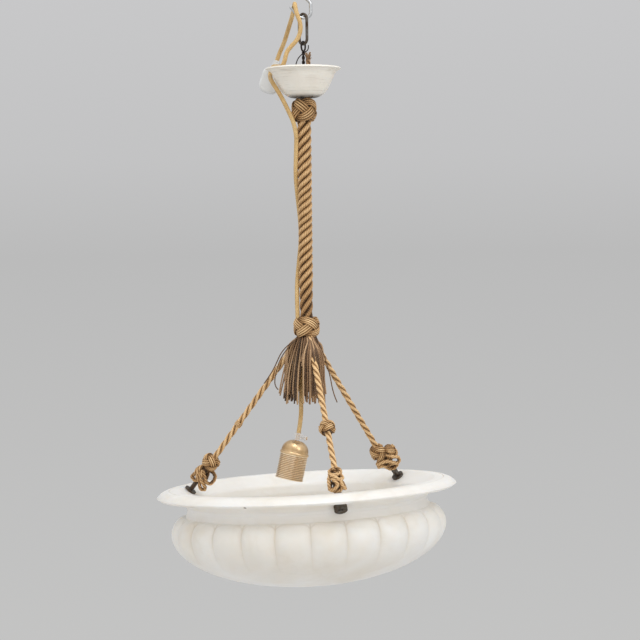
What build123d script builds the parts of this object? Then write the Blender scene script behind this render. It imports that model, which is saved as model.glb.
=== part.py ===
from build123d import *
import os
from math import asin, cos, degrees, pi, radians, sin, sqrt, tan

os.makedirs("parts", exist_ok=True)

# An alabaster bowl lamp on three ropes. Millimetres, Z up, X to the right, Y away from the viewer.
# The origin is where the ceiling hook's shank enters the ceiling.

# Ceiling hook
hook_wire = 4.7
shank_diameter = 5.6
shank_length = 25.0
hook_neck = 14.0
hook_drop = 45.5
hook_right = 11.0
hook_left = 5.0
hook_tip_x = 17.5
hook_tip_drop = 29.4
hook_bend = 8.0
hook_neck_bend = 5.0

# Suspension link and wire
link_wire = 4.0
link_width = 19.0
link_length = 46.0
link_turn = -45.0
hook_gap = 0.9
hang_gap = 0.3
eye_wire = 2.6
eye_width = 10.4
eye_length = 16.0
leg_diameter = 4.6
tail_wire = 1.8

# Canopy, a turned alabaster cup
canopy_rim_drop = 115.0
canopy_rim_radius = 53.0
canopy_edge = 2.0
canopy_flare_radius = 45.3
canopy_flare_depth = 6.8
canopy_cove_radius = 42.0
canopy_cove_depth = 13.0
canopy_belly_radius = 34.8
canopy_belly_depth = 28.0
canopy_seat_radius = 17.0
canopy_height = 42.0
canopy_wall = 6.0
canopy_hole = 21.0

# Rope work
rope_diameter = 8.0
column_diameter = 19.5
column_length = 270.5
upper_knot_diameter = 37.0
upper_knot_height = 34.5
upper_knot_flat = 27.0
lower_knot_diameter = 38.0
lower_knot_height = 30.0
lower_knot_flat = 33.0
stub_diameter = 7.0
stub_height = 58.0
stub_offset = 6.5
rope_ring_radius = 11.0
rope_azimuths = {"front": 15.0, "right": 128.0, "left": -105.0}
end_knot_diameters = {"front": 25.0, "right": 31.0, "left": 27.0}
end_knot_lengths = {"front": 36.0, "right": 42.0, "left": 45.0}
end_knot_flat = 12.0
small_knot_diameter = 24.0
small_knot_length = 20.0
small_knot_flat = 13.0
small_knot_share = 0.695
whipping_diameter = 11.0
whipping_length = 9.0
whipping_share = 0.725

# Tassel
tassel_ring_inner = 16.0
tassel_ring_height = 3.0
strand_diameter = 1.8
strand_rows = 3
strands_per_row = 6
strand_sector = 60.0
strand_top_radius = 10.5
strand_row_step = 2.0
strand_reach = 25.0
strand_reach_step = 8.0
tassel_drop = 93.0

# Alabaster bowl, measured down from the crest of its lip
bowl_hang = 204.0
bowl_shift = 3.0
bowl_lean = 2.5
lip_radius = 210.0
lip_edge_depth = 9.0
crest_inset = 21.0
lip_roll_inset = 7.0
lip_roll_rise = 6.0
lip_under_inset = 5.0
lip_under_drop = 3.5
cove_inset = 13.0
cove_rise = 2.3
root_inset = 23.0
root_rise = 2.5
neck_inset = 41.5
neck_drop = 11.0
neck_taper = 0.5
neck_height = 4.5
shoulder_swell = 3.5
shoulder_height = 10.0
belly_swell = 25.0
belly_drop = 23.0
foot_drop = 81.0
bowl_wall = 9.0
inner_slope_drop = 15.3
inner_round = 6.0
quirk_share = 0.14
quirk_radius = 0.8
lobe_count = 24
lobe_height = 6.5
lobe_fade = 49.0
lobe_rise = 6.5
lobe_lead = 1.1
lobe_least = 0.05
flank_drop = 74.0
lobe_turn = 0.9
shoulder_sections = 3
flank_sections = 10
foot_step = 0.8

# Bowl hooks
bowl_hook_wire = 6.5
bowl_hook_hole = 7.1
bowl_hook_rise = 8.0
strap_width = 9.5
strap_thickness = 5.0
strap_corner = 1.5
strap_gap = 1.0
seat_gap = 0.6
end_knot_insets = {"front": 56.0, "right": 61.5, "left": 63.3}
end_knot_rises = {"front": 14.5, "right": 22.0, "left": 24.4}
nut_diameter = 18.0
nut_thickness = 7.0
washer_diameter = 17.0
washer_thickness = 2.5
thread_proud = 2.0

# Flex and its plug
flex_diameter = 6.1
flex_fit = 0.1
plug_width = 29.0
plug_height = 36.0
plug_depth = 17.0
plug_corner = 10.0
plug_edge = 2.5
plug_lean = 18.0
plug_left = 47.0
plug_back = 58.0
plug_drop = 128.0
pin_diameter = 4.0
pin_length = 16.0
pin_spacing = 19.0
sleeve_length = 12.0
sleeve_base = 11.0
sleeve_tip = 8.6
drop_gap = 0.6

# Lampholder, measured up from its mouth along its own axis
holder_diameter = 39.4
holder_lean = 12.4
holder_left = 27.0
holder_hang = 198.0
skirt_height = 35.0
skirt_wall = 2.1
skirt_ridges = 14
ridge_depth = 0.8
bead_height = 4.0
bead_proud = 0.6
dome_height = 16.0
dome_shoulder = 0.83
dome_shoulder_rise = 0.62
cap_wall = 1.2
nipple_diameter = 8.2
nipple_length = 4.0
grip_diameter = 12.0
grip_height = 11.0
grip_boss_diameter = 7.0
grip_boss_reach = 12.0
grip_screw_diameter = 2.6
grip_screw_head = 4.6
grip_screw_proud = 1.4
grip_screw_stop = 0.6
insert_flange_inset = 1.4
insert_flange_height = 3.5
insert_inset = 3.7
insert_drop = 9.0
shell_bore = 26.4
shell_wall = 0.7
shell_length = 20.0
contact_diameter = 8.0
contact_pocket = 10.0
contact_pocket_depth = 4.0
contact_thickness = 2.5
terminal_spacing = 18.0
terminal_shank = 3.0
terminal_depth = 6.0
terminal_head = 5.2
terminal_head_height = 2.0

# Heights and diameters that follow from the sizes above
link_top = -hook_drop + (hook_wire + link_wire) / 2 + hook_gap
link_bottom = link_top - (link_length - link_wire)
eye_top = link_bottom + (link_wire + eye_wire) / 2 + hang_gap
eye_bottom = eye_top - (eye_length - eye_wire)
canopy_rim = -canopy_rim_drop
canopy_seat = canopy_rim - canopy_height
upper_knot_bottom = canopy_seat - upper_knot_height
lower_knot_top = upper_knot_bottom - column_length
lower_knot_bottom = lower_knot_top - lower_knot_height
tassel_ring_bottom = lower_knot_bottom - tassel_ring_height
crest_drop = bowl_hang - lower_knot_bottom
holder_mouth_drop = holder_hang - lower_knot_bottom
insert_flange = holder_diameter - 2 * insert_flange_inset
insert_diameter = holder_diameter - 2 * insert_inset

# Frames of the leaning pieces
link_way = Vector(cos(radians(link_turn)), sin(radians(link_turn)), 0)
crest_radius = lip_radius - crest_inset
lip_roll_radius = lip_radius - lip_roll_inset
lip_roll_depth = lip_edge_depth - lip_roll_rise
lip_under_radius = lip_radius - lip_under_inset
lip_under_depth = lip_edge_depth + lip_under_drop
cove_radius = lip_radius - cove_inset
cove_depth = lip_under_depth - cove_rise
neck_top_radius = lip_radius - neck_inset
neck_top_depth = lip_under_depth + neck_drop
root_radius = lip_radius - root_inset
root_depth = lip_under_depth - root_rise
neck_radius = neck_top_radius - neck_taper
neck_depth = neck_top_depth + neck_height
lobe_top_radius = neck_radius + shoulder_swell
lobe_top_depth = neck_depth + shoulder_height
belly_radius = neck_radius + belly_swell
belly_depth = lobe_top_depth + belly_drop
bowl_depth = belly_depth + foot_drop
lobe_end_depth = belly_depth + lobe_fade
bowl_plane = Plane(
    origin=(-bowl_shift, 0, -crest_drop),
    x_dir=(cos(radians(bowl_lean)), 0, sin(radians(bowl_lean))),
    z_dir=(-sin(radians(bowl_lean)), 0, cos(radians(bowl_lean))),
)
bowl_axis = Axis(bowl_plane.origin, bowl_plane.z_dir)
holder_plane = Plane(
    origin=(-holder_left, 0, -holder_mouth_drop),
    x_dir=(cos(radians(holder_lean)), 0, -sin(radians(holder_lean))),
    z_dir=(sin(radians(holder_lean)), 0, cos(radians(holder_lean))),
)
holder_axis = Axis(holder_plane.origin, holder_plane.z_dir)
plug_up = Vector(sin(radians(plug_lean)), 0, cos(radians(plug_lean)))
plug_centre = Vector(-plug_left, plug_back, -plug_drop)
plug_plane = Plane(origin=plug_centre, x_dir=Vector(0, 1, 0).cross(plug_up) * -1, z_dir=(0, 1, 0))


def profile_plane(base):
    """The upright plane through a frame's axis: its x runs outwards and its y up the axis."""
    return Plane(origin=base.origin, x_dir=base.x_dir, z_dir=base.y_dir * -1)


def radial_plane(azimuth):
    """The bowl's upright plane at an azimuth that counts from the viewer's side towards the right."""
    turn = radians(azimuth)
    out = bowl_plane.x_dir * sin(turn) - bowl_plane.y_dir * cos(turn)
    return Plane(origin=bowl_plane.origin, x_dir=out, z_dir=out.cross(bowl_plane.z_dir))


def corner_radii(points):
    """The largest even arc at each corner of a cord's route."""
    radii = []
    for before, corner, after in zip(points, points[1:], points[2:]):
        arriving = corner - before
        leaving = after - corner
        half_turn = radians(arriving.get_angle(leaving) / 2)
        radii.append(0.45 * min(arriving.length, leaving.length) / tan(half_turn))
    return radii


def route(*places):
    return [Vector(*place) for place in places]


def tube(points, diameter):
    """A round tube on straight runs and tangent arcs."""
    with BuildPart() as run:
        with BuildLine() as path:
            if len(points) > 2:
                FilletPolyline(*points, radius=corner_radii(points))
            else:
                Line(*points)
        with BuildSketch(Plane(origin=path.line @ 0, z_dir=path.line % 0)):
            Circle(diameter / 2)
        sweep()
    return run.part


def report_tube(name, piece, points, diameter):
    """Print a cord's bends, and its volume against its section times its length."""
    radii = [round(radius, 1) for radius in corner_radii(points)]
    with BuildLine(mode=Mode.PRIVATE) as path:
        FilletPolyline(*points, radius=corner_radii(points))
    length = sum(edge.length for edge in path.edges())
    share = piece.part.volume / (pi * diameter**2 / 4 * length)
    print(name, "length", round(length, 1), "volume share", round(share, 4), "radii", radii)


def wire_ring(top, way, width, length, wire):
    """A long ring of round wire that hangs from its top, its flat side along way."""
    plane = Plane(origin=top, x_dir=way, z_dir=way.cross(Vector(0, 0, 1)))
    half_width = (width - wire) / 2
    drop = length - wire
    with BuildPart() as ring:
        for start, shoulder, end in (
            (-drop / 2, -half_width, 0),
            (-drop / 2, half_width - drop, -drop),
        ):
            with BuildLine(plane) as bend:
                Line((-half_width, start), (-half_width, shoulder))
                ThreePointArc((-half_width, shoulder), (0, end), (half_width, shoulder))
                Line((half_width, shoulder), (half_width, start))
            with BuildSketch(Plane(origin=bend.line @ 0, z_dir=bend.line % 0)):
                Circle(wire / 2)
            sweep(path=bend.line)
    return ring.part


def barrel(start, way, length, diameter, flat, bore=0):
    """A knot's round body along way from start, flat at both ends, with a bore through it if asked."""
    frame = Plane(origin=start, z_dir=way)
    with BuildPart() as body:
        with BuildSketch(profile_plane(frame)):
            with BuildLine():
                ThreePointArc((flat / 2, 0), (diameter / 2, length / 2), (flat / 2, length))
                Polyline((flat / 2, length), (bore / 2, length), (bore / 2, 0), (flat / 2, 0))
            make_face()
        revolve(axis=Axis(frame.origin, frame.z_dir))
    return body.part


# Ceiling hook: a bent wire whose shank is the mount
hook_plane = Plane.XZ
with BuildPart() as ceiling_hook:
    with BuildLine(hook_plane) as hook_path:
        FilletPolyline(
            (0, 0),
            (0, -hook_neck),
            (hook_right, -hook_neck - hook_right),
            (hook_right, -hook_drop),
            (-hook_left, -hook_drop),
            (-hook_tip_x, -hook_tip_drop),
            radius=[hook_neck_bend, hook_neck_bend, hook_bend, hook_bend],
        )
    with BuildSketch(Plane.XY):
        Circle(hook_wire / 2)
    sweep(path=hook_path.line)
    with BuildSketch(Plane.XY):
        Circle(shank_diameter / 2)
    extrude(amount=shank_length)
    chamfer(ceiling_hook.edges().sort_by(Axis.Z)[-1], length=shank_diameter / 4)
    tip_edge = ceiling_hook.edges().filter_by(GeomType.CIRCLE).sort_by(Axis.X)[0]
    fillet(tip_edge, radius=hook_wire / 3)
ceiling_hook.part.label = "ceiling_hook"
export_step(ceiling_hook.part, "parts/ceiling_hook.step")

# Suspension link
with BuildPart() as suspension_link:
    add(wire_ring(Vector(0, 0, link_top), link_way, link_width, link_length, link_wire))
suspension_link.part.label = "suspension_link"
export_step(suspension_link.part, "parts/suspension_link.step")

# Suspension wire: an eye across the link's foot, a doubled leg and two loose tails
eye_way = link_way.cross(Vector(0, 0, 1))
leg_top = eye_bottom
leg_foot = canopy_seat - upper_knot_height / 2
tail_root = leg_top - 2 * tail_wire
with BuildPart() as suspension_wire:
    add(wire_ring(Vector(0, 0, eye_top), eye_way, eye_width, eye_length, eye_wire))
    with BuildSketch(Plane.XY.offset(leg_foot)):
        Circle(leg_diameter / 2)
    extrude(amount=leg_top - leg_foot)
    add(tube(route((0, 0, tail_root), (7.5, -2, tail_root + 7)), tail_wire))
    add(tube(route((0, 0, tail_root - 3), (-10.5, -4, tail_root - 15)), tail_wire))
suspension_wire.part.label = "suspension_wire"
export_step(suspension_wire.part, "parts/suspension_wire.step")

# Canopy: a turned cup with a coved rim, open at the top, with a hole for the wire and the rope's end
canopy_plane = Plane(origin=(0, 0, canopy_rim), x_dir=(1, 0, 0), z_dir=(0, -1, 0))
with BuildPart() as canopy:
    with BuildSketch(canopy_plane):
        with BuildLine():
            Polyline(
                (canopy_hole / 2, -canopy_height),
                (canopy_seat_radius, -canopy_height),
            )
            ThreePointArc(
                (canopy_seat_radius, -canopy_height),
                (canopy_belly_radius - canopy_wall, -canopy_height + canopy_wall),
                (canopy_belly_radius, -canopy_belly_depth),
            )
            Line((canopy_belly_radius, -canopy_belly_depth), (canopy_cove_radius, -canopy_cove_depth))
            ThreePointArc(
                (canopy_cove_radius, -canopy_cove_depth),
                (canopy_flare_radius, -canopy_flare_depth),
                (canopy_rim_radius, -canopy_edge),
            )
            Polyline(
                (canopy_rim_radius, -canopy_edge),
                (canopy_rim_radius - canopy_edge, 0),
                (canopy_rim_radius - canopy_wall, 0),
                (canopy_cove_radius - canopy_wall, -canopy_cove_depth),
                (canopy_belly_radius - canopy_wall, -canopy_belly_depth),
                (canopy_seat_radius, -canopy_height + canopy_wall),
                (canopy_hole / 2, -canopy_height + canopy_wall),
                (canopy_hole / 2, -canopy_height),
            )
        make_face()
    revolve(axis=Axis.Z)
canopy.part.label = "canopy"
export_step(canopy.part, "parts/canopy.step")

# Upper knot, with the wire's leg in its heart
with BuildPart() as upper_knot:
    add(
        barrel(
            Vector(0, 0, upper_knot_bottom),
            Vector(0, 0, 1),
            upper_knot_height,
            upper_knot_diameter,
            upper_knot_flat,
        )
    )
    with BuildSketch(Plane.XY.offset(leg_foot)):
        Circle(leg_diameter / 2)
    extrude(amount=upper_knot_height, mode=Mode.SUBTRACT)
upper_knot.part.label = "upper_knot"
export_step(upper_knot.part, "parts/upper_knot.step")

# Rope stub: the frayed end of the column's rope, standing on the upper knot inside the canopy
with BuildPart() as rope_stub:
    with BuildSketch(Plane.XY.offset(canopy_seat)):
        with Locations((stub_offset, 0)):
            Circle(stub_diameter / 2)
    extrude(amount=stub_height)
rope_stub.part.label = "rope_stub"
export_step(rope_stub.part, "parts/rope_stub.step")

# Rope column: four ropes laid up together
with BuildPart() as rope_column:
    with BuildSketch(Plane.XY.offset(lower_knot_top)):
        Circle(column_diameter / 2)
    extrude(amount=column_length)
rope_column.part.label = "rope_column"
export_step(rope_column.part, "parts/rope_column.step")

# Lower knot
with BuildPart() as lower_knot:
    add(
        barrel(
            Vector(0, 0, lower_knot_bottom),
            Vector(0, 0, 1),
            lower_knot_height,
            lower_knot_diameter,
            lower_knot_flat,
        )
    )
lower_knot.part.label = "lower_knot"
export_step(lower_knot.part, "parts/lower_knot.step")

# The ropes' lines, from the lower knot to the end knots above the bowl's neck
rope_tops = {}
rope_ways = {}
rope_feet = {}
knot_centres = {}
for side, azimuth in rope_azimuths.items():
    turn = radians(azimuth)
    rope_tops[side] = Vector(rope_ring_radius * sin(turn), -rope_ring_radius * cos(turn), lower_knot_bottom)
    knot_centres[side] = radial_plane(azimuth).from_local_coords(
        Vector(lip_radius - end_knot_insets[side], end_knot_rises[side], 0)
    )
    rope_ways[side] = (rope_tops[side] - knot_centres[side]).normalized()
    rope_feet[side] = knot_centres[side] + rope_ways[side] * (end_knot_lengths[side] / 2)


def reach_to(side, upper, lower):
    """How far below an end knot's centre its rope's line meets a straight run of the bowl's section."""
    plane = radial_plane(rope_azimuths[side])
    knot = plane.to_local_coords(knot_centres[side])
    way = plane.to_local_coords(knot_centres[side] - rope_ways[side]) - knot
    run = lower - upper
    gap = upper - knot
    return (gap.X * run.Y - gap.Y * run.X) / (way.X * run.Y - way.Y * run.X)


def on_hook(side, reach):
    """A plane square to a bowl hook, at a distance below the end knot's centre."""
    out = radial_plane(rope_azimuths[side]).z_dir
    return Plane(origin=knot_centres[side] - rope_ways[side] * reach, x_dir=out, z_dir=-rope_ways[side])


inner_reach = {}
outer_reach = {}
for side in rope_azimuths:
    inner_reach[side] = reach_to(
        side,
        Vector(crest_radius - bowl_wall, 0, 0),
        Vector(neck_radius - bowl_wall, -inner_slope_drop, 0),
    )
    outer_reach[side] = reach_to(
        side,
        Vector(root_radius, -root_depth, 0),
        Vector(neck_top_radius, -neck_top_depth, 0),
    )

# Bowl hooks: a flat strap in each end knot, and a bolt in line with the rope through the bowl's neck
with BuildPart() as bowl_hooks:
    for side in rope_azimuths:
        strap_end = inner_reach[side] - seat_gap - washer_thickness - strap_gap
        bolt_end = outer_reach[side] + seat_gap + nut_thickness + thread_proud
        with BuildSketch(on_hook(side, bowl_hook_rise)):
            RectangleRounded(strap_width, strap_thickness, strap_corner)
        extrude(amount=strap_end - bowl_hook_rise)
        with BuildSketch(on_hook(side, bowl_hook_rise)):
            Circle(bowl_hook_wire / 2)
        extrude(amount=bolt_end - bowl_hook_rise)
bowl_hooks.part.label = "bowl_hooks"
export_step(bowl_hooks.part, "parts/bowl_hooks.step")


def ring_on_hook(side, reach, thickness, diameter):
    """A nut or washer round a bowl hook's bolt, from a distance below the end knot's centre."""
    with BuildPart() as ring:
        with BuildSketch(on_hook(side, reach)):
            Circle(diameter / 2)
            Circle(bowl_hook_wire / 2, mode=Mode.SUBTRACT)
        extrude(amount=thickness)
    return ring.part


# Alabaster bowl: rolled lip, coved neck and a belly of lobes that fade out towards the bottom
def belly_at(depth):
    """The radius over the lobes at a depth below the crest."""
    if depth < belly_depth:
        rise = (belly_depth - depth) / (belly_depth - lobe_top_depth)
        return lobe_top_radius + (belly_radius - lobe_top_radius) * sqrt(max(0.0, 1 - rise**2))
    fall = (depth - belly_depth) / (bowl_depth - belly_depth)
    return belly_radius * sqrt(max(0.0, 1 - fall**2))


def smooth(share):
    bounded = min(1.0, max(0.0, share))
    return bounded * bounded * (3 - 2 * bounded)


def lobe_at(depth):
    """How far the lobes stand out from the grooves between them."""
    swell = smooth((depth - lobe_top_depth + lobe_lead) / lobe_rise)
    fade = smooth((lobe_end_depth - depth) / (lobe_end_depth - belly_depth))
    return lobe_height * (lobe_least + (1 - lobe_least) * swell * fade)


def lobe_point(radius, step):
    turn = radians(lobe_turn - 90 + step * 360 / lobe_count)
    return (radius * cos(turn), radius * sin(turn))


lobe_depths = []
for number in range(shoulder_sections):
    lobe_depths.append(belly_depth - belly_drop * cos(radians(90 * number / shoulder_sections)))
flank_turn = asin(flank_drop / foot_drop)
for number in range(flank_sections):
    lobe_depths.append(belly_depth + foot_drop * sin(flank_turn * number / (flank_sections - 1)))

with BuildPart() as alabaster_bowl:
    for depth in lobe_depths:
        over = belly_at(depth)
        groove = over - lobe_at(depth)
        with BuildSketch(bowl_plane.offset(-depth)):
            with BuildLine():
                for lobe in range(lobe_count):
                    ThreePointArc(
                        lobe_point(groove, lobe),
                        lobe_point(over, lobe + 0.5),
                        lobe_point(groove, lobe + 1),
                    )
            make_face()
    loft()
    lobe_foot_radius = belly_at(lobe_top_depth) - lobe_at(lobe_top_depth)
    with BuildSketch(profile_plane(bowl_plane)):
        with BuildLine():
            roll = ThreePointArc(
                (crest_radius, 0),
                (lip_roll_radius, -lip_roll_depth),
                (lip_radius, -lip_edge_depth),
            )
            Line((lip_radius, -lip_edge_depth), (lip_under_radius, -lip_under_depth))
            ThreePointArc(
                (lip_under_radius, -lip_under_depth),
                (cove_radius, -cove_depth),
                (root_radius, -root_depth),
            )
            Polyline(
                (root_radius, -root_depth),
                (neck_top_radius, -neck_top_depth),
                (neck_radius, -neck_depth),
                (lobe_foot_radius, -lobe_top_depth),
                (0, -lobe_top_depth),
                (0, 0),
                (crest_radius, 0),
            )
            quirk = roll @ quirk_share
        make_face()
    revolve(axis=bowl_axis)
    with BuildSketch(profile_plane(bowl_plane)):
        with Locations((quirk.X, quirk.Y)):
            Circle(quirk_radius)
    revolve(axis=bowl_axis, mode=Mode.SUBTRACT)
    with BuildSketch(profile_plane(bowl_plane)):
        with BuildLine():
            foot = EllipticalCenterArc(
                (0, -belly_depth),
                belly_radius - foot_step,
                bowl_depth - belly_depth,
                start_angle=270,
                arc_size=90 - degrees(flank_turn),
            )
            Polyline(foot @ 1, (0, -belly_depth), foot @ 0)
        make_face()
    revolve(axis=bowl_axis)
    inner_belly = belly_radius - lobe_height - bowl_wall
    inner_bottom = bowl_depth - bowl_wall
    with BuildSketch(profile_plane(bowl_plane)):
        with BuildLine():
            Line((crest_radius - bowl_wall, bowl_wall), (crest_radius - bowl_wall, 0))
            FilletPolyline(
                (crest_radius - bowl_wall, 0),
                (neck_radius - bowl_wall, -inner_slope_drop),
                (neck_radius - bowl_wall, -neck_depth),
                (inner_belly, -belly_depth),
                radius=inner_round,
            )
            EllipticalCenterArc(
                (0, -belly_depth),
                inner_belly,
                inner_bottom - belly_depth,
                start_angle=270,
                arc_size=90,
            )
            Polyline((0, -inner_bottom), (0, bowl_wall), (crest_radius - bowl_wall, bowl_wall))
        make_face()
    revolve(axis=bowl_axis, mode=Mode.SUBTRACT)
    for side in rope_azimuths:
        with BuildSketch(on_hook(side, inner_reach[side] - washer_thickness)):
            Circle(bowl_hook_hole / 2)
        extrude(amount=outer_reach[side] - inner_reach[side] + 2 * washer_thickness, mode=Mode.SUBTRACT)
alabaster_bowl.part.label = "alabaster_bowl"
export_step(alabaster_bowl.part, "parts/alabaster_bowl.step")

# Nuts under the lip's root and washers on the slope inside it, on the bowl hooks' bolts
with BuildPart() as hook_nuts:
    for side in rope_azimuths:
        add(ring_on_hook(side, outer_reach[side] + seat_gap, nut_thickness, nut_diameter))
hook_nuts.part.label = "hook_nuts"
export_step(hook_nuts.part, "parts/hook_nuts.step")

with BuildPart() as hook_washers:
    for side in rope_azimuths:
        start = inner_reach[side] - seat_gap - washer_thickness
        add(ring_on_hook(side, start, washer_thickness, washer_diameter))
hook_washers.part.label = "hook_washers"
export_step(hook_washers.part, "parts/hook_washers.step")

# Suspension ropes, pulled straight between the lower knot and the end knots
ropes = {}
for side in rope_azimuths:
    with BuildPart() as rope:
        with BuildSketch(Plane(origin=rope_feet[side], z_dir=rope_ways[side])):
            Circle(rope_diameter / 2)
        extrude(amount=(rope_tops[side] - rope_feet[side]).length + rope_diameter)
        split(bisect_by=Plane.XY.offset(lower_knot_bottom), keep=Keep.BOTTOM)
    rope.part.label = f"rope_{side}"
    export_step(rope.part, f"parts/rope_{side}.step")
    ropes[side] = rope.part

# End knots, each tied round the leg of its bowl hook
for side in rope_azimuths:
    with BuildPart() as end_knot:
        add(
            barrel(
                rope_feet[side] - rope_ways[side] * end_knot_lengths[side],
                rope_ways[side],
                end_knot_lengths[side],
                end_knot_diameters[side],
                end_knot_flat,
            )
        )
        add(bowl_hooks.part, mode=Mode.SUBTRACT)
    end_knot.part.label = f"end_knot_{side}"
    export_step(end_knot.part, f"parts/end_knot_{side}.step")


def on_rope(side, share, length):
    """The lower end of a piece of a given length, centred at a share of the way down a rope."""
    drop = (rope_tops[side] - rope_feet[side]).length * share + length / 2
    return rope_tops[side] - rope_ways[side] * drop


# Small knot on the front rope and a whipping on the left one
with BuildPart() as small_knot:
    add(
        barrel(
            on_rope("front", small_knot_share, small_knot_length),
            rope_ways["front"],
            small_knot_length,
            small_knot_diameter,
            small_knot_flat,
            rope_diameter,
        )
    )
small_knot.part.label = "small_knot"
export_step(small_knot.part, "parts/small_knot.step")

with BuildPart() as rope_whipping:
    add(
        barrel(
            on_rope("left", whipping_share, whipping_length),
            rope_ways["left"],
            whipping_length,
            whipping_diameter,
            (whipping_diameter + rope_diameter) / 2,
            rope_diameter,
        )
    )
rope_whipping.part.label = "rope_whipping"
export_step(rope_whipping.part, "parts/rope_whipping.step")

# Tassel: a ring under the lower knot, and strands that hang out between the ropes
with BuildPart() as tassel:
    with BuildSketch(Plane.XY.offset(tassel_ring_bottom)):
        Circle(lower_knot_flat / 2)
        Circle(tassel_ring_inner / 2, mode=Mode.SUBTRACT)
    extrude(amount=tassel_ring_height)
    for side_rope in ropes.values():
        add(side_rope, mode=Mode.SUBTRACT)
    for azimuth in rope_azimuths.values():
        for row in range(strand_rows):
            for number in range(strands_per_row):
                spread = strand_sector * (number / (strands_per_row - 1) - 0.5)
                turn = radians(azimuth + 60 + spread)
                out = Vector(sin(turn), -cos(turn), 0)
                top = out * (strand_top_radius + row * strand_row_step)
                foot = out * (strand_reach + row * strand_reach_step)
                start = top + Vector(0, 0, tassel_ring_bottom + tassel_ring_height / 2)
                end = foot + Vector(0, 0, lower_knot_bottom - tassel_drop)
                with BuildSketch(Plane(origin=start, x_dir=out.cross(Vector(0, 0, 1)), z_dir=end - start)):
                    RegularPolygon(strand_diameter / 2, 4)
    extrude(amount=tassel_drop)
tassel.part.label = "tassel"
export_step(tassel.part, "parts/tassel.step")

# Ceiling plug: a flat body with its pins to the back and a sleeve round the flex on top
plug_top = plug_centre + plug_up * (plug_height / 2)
with BuildPart() as plug_body:
    with BuildSketch(plug_plane):
        RectangleRounded(plug_width, plug_height, plug_corner)
    extrude(amount=plug_depth / 2, both=True)
    fillet(plug_body.faces().sort_by(Axis.Y)[0].edges(), radius=plug_edge)
plug_body.part.label = "plug_body"
export_step(plug_body.part, "parts/plug_body.step")

with BuildPart() as plug_pins:
    with BuildSketch(plug_plane.offset(plug_depth / 2)):
        with GridLocations(pin_spacing, 0, 2, 1):
            Circle(pin_diameter / 2)
    extrude(amount=pin_length)
    fillet(plug_pins.faces().sort_by(Axis.Y)[-2:].edges(), radius=pin_diameter / 5)
plug_pins.part.label = "plug_pins"
export_step(plug_pins.part, "parts/plug_pins.step")

sleeve_plane = Plane(origin=plug_top, z_dir=plug_up)
with BuildPart() as plug_sleeve:
    with BuildSketch(sleeve_plane):
        Circle(sleeve_base / 2)
    with BuildSketch(sleeve_plane.offset(sleeve_length)):
        Circle(sleeve_tip / 2)
    loft()
    with BuildSketch(sleeve_plane):
        Circle(flex_diameter / 2 + flex_fit)
    extrude(amount=sleeve_length, mode=Mode.SUBTRACT)
plug_sleeve.part.label = "plug_sleeve"
export_step(plug_sleeve.part, "parts/plug_sleeve.step")

# Flex, from the plug over the hook's tip into the canopy
loop_route = [plug_top, plug_top + plug_up * (sleeve_length + 10)] + route(
    (-27.5, 47, -77),
    (-19.5, 29.5, -54),
    (-13.5, 13.5, -37),
    (-11.6, 6.6, -26),
    (-11.2, -6.6, -26),
    (-9, -9, -40),
    (-4, -10.5, -52),
    (-3, -10.5, -64),
    (-8, -9.5, -77),
    (-17.5, -9, -86.5),
    (-23.5, -9, -94),
    (-25, -9.3, -101),
)
with BuildPart() as flex_loop:
    add(tube(loop_route, flex_diameter))
flex_loop.part.label = "flex_loop"
export_step(flex_loop.part, "parts/flex_loop.step")
report_tube("flex_loop", flex_loop, loop_route, flex_diameter)

# Flex, out over the canopy's rim and in to the rope column
rim_route = route(
    (-25, -9.3, -101),
    (-27.5, -9.8, -112.67),
    (-34, 6, -112.7),
    (-38.5, 23, -110.8),
    (-43.5, 35, -109.4),
    (-47.5, 37, -120.5),
    (-47, 27, -125),
    (-46.5, 11, -129),
    (-43.5, -7, -136),
    (-33, -12.5, -153),
    (-22.5, -10, -174),
    (-12.8, -9.4, -197),
    (-12.6, -7.7, -214),
)
with BuildPart() as flex_rim:
    add(tube(rim_route, flex_diameter))
flex_rim.part.label = "flex_rim"
export_step(flex_rim.part, "parts/flex_rim.step")
report_tube("flex_rim", flex_rim, rim_route, flex_diameter)

# Flex, down the rope column, behind it half way, and into the lower knot
column_route = route(
    (-12.6, -7.7, -214),
    (-12.34, -5.49, -236.1),
    (-13.3, 0.5, -266),
    (-11, 8.4, -296),
    (-7.5, 11.6, -326),
    (-6.5, 12.1, -356),
    (-10, 9.4, -386),
    (-13, 4.2, -414),
    (-13.2, -1.5, -440),
    (-13.2, -1.5, lower_knot_top),
)
with BuildPart() as flex_column:
    add(tube(column_route, flex_diameter))
flex_column.part.label = "flex_column"
export_step(flex_column.part, "parts/flex_column.step")
report_tube("flex_column", flex_column, column_route, flex_diameter)

# Lampholder heights along its axis
bead_top = skirt_height + bead_height
cap_top = bead_top + dome_height
grip_top = cap_top + grip_height
insert_bottom = skirt_height - insert_drop
insert_top = skirt_height + insert_flange_height
holder_profile = profile_plane(holder_plane)

# Flex, the drop from the lower knot to the lampholder
drop_route = route(
    (-2, 0, lower_knot_bottom - drop_gap),
    (-2, 0, -504),
    (-5.2, 0.5, -522),
    (-8.3, 0.7, -546),
    (-8.9, -0.2, -574),
) + [
    holder_plane.from_local_coords(Vector(0, 0, grip_top + 18)),
    holder_plane.from_local_coords(Vector(0, 0, cap_top)),
]
with BuildPart() as flex_drop:
    add(tube(drop_route, flex_diameter))
flex_drop.part.label = "flex_drop"
export_step(flex_drop.part, "parts/flex_drop.step")
report_tube("flex_drop", flex_drop, drop_route, flex_diameter)

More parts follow.
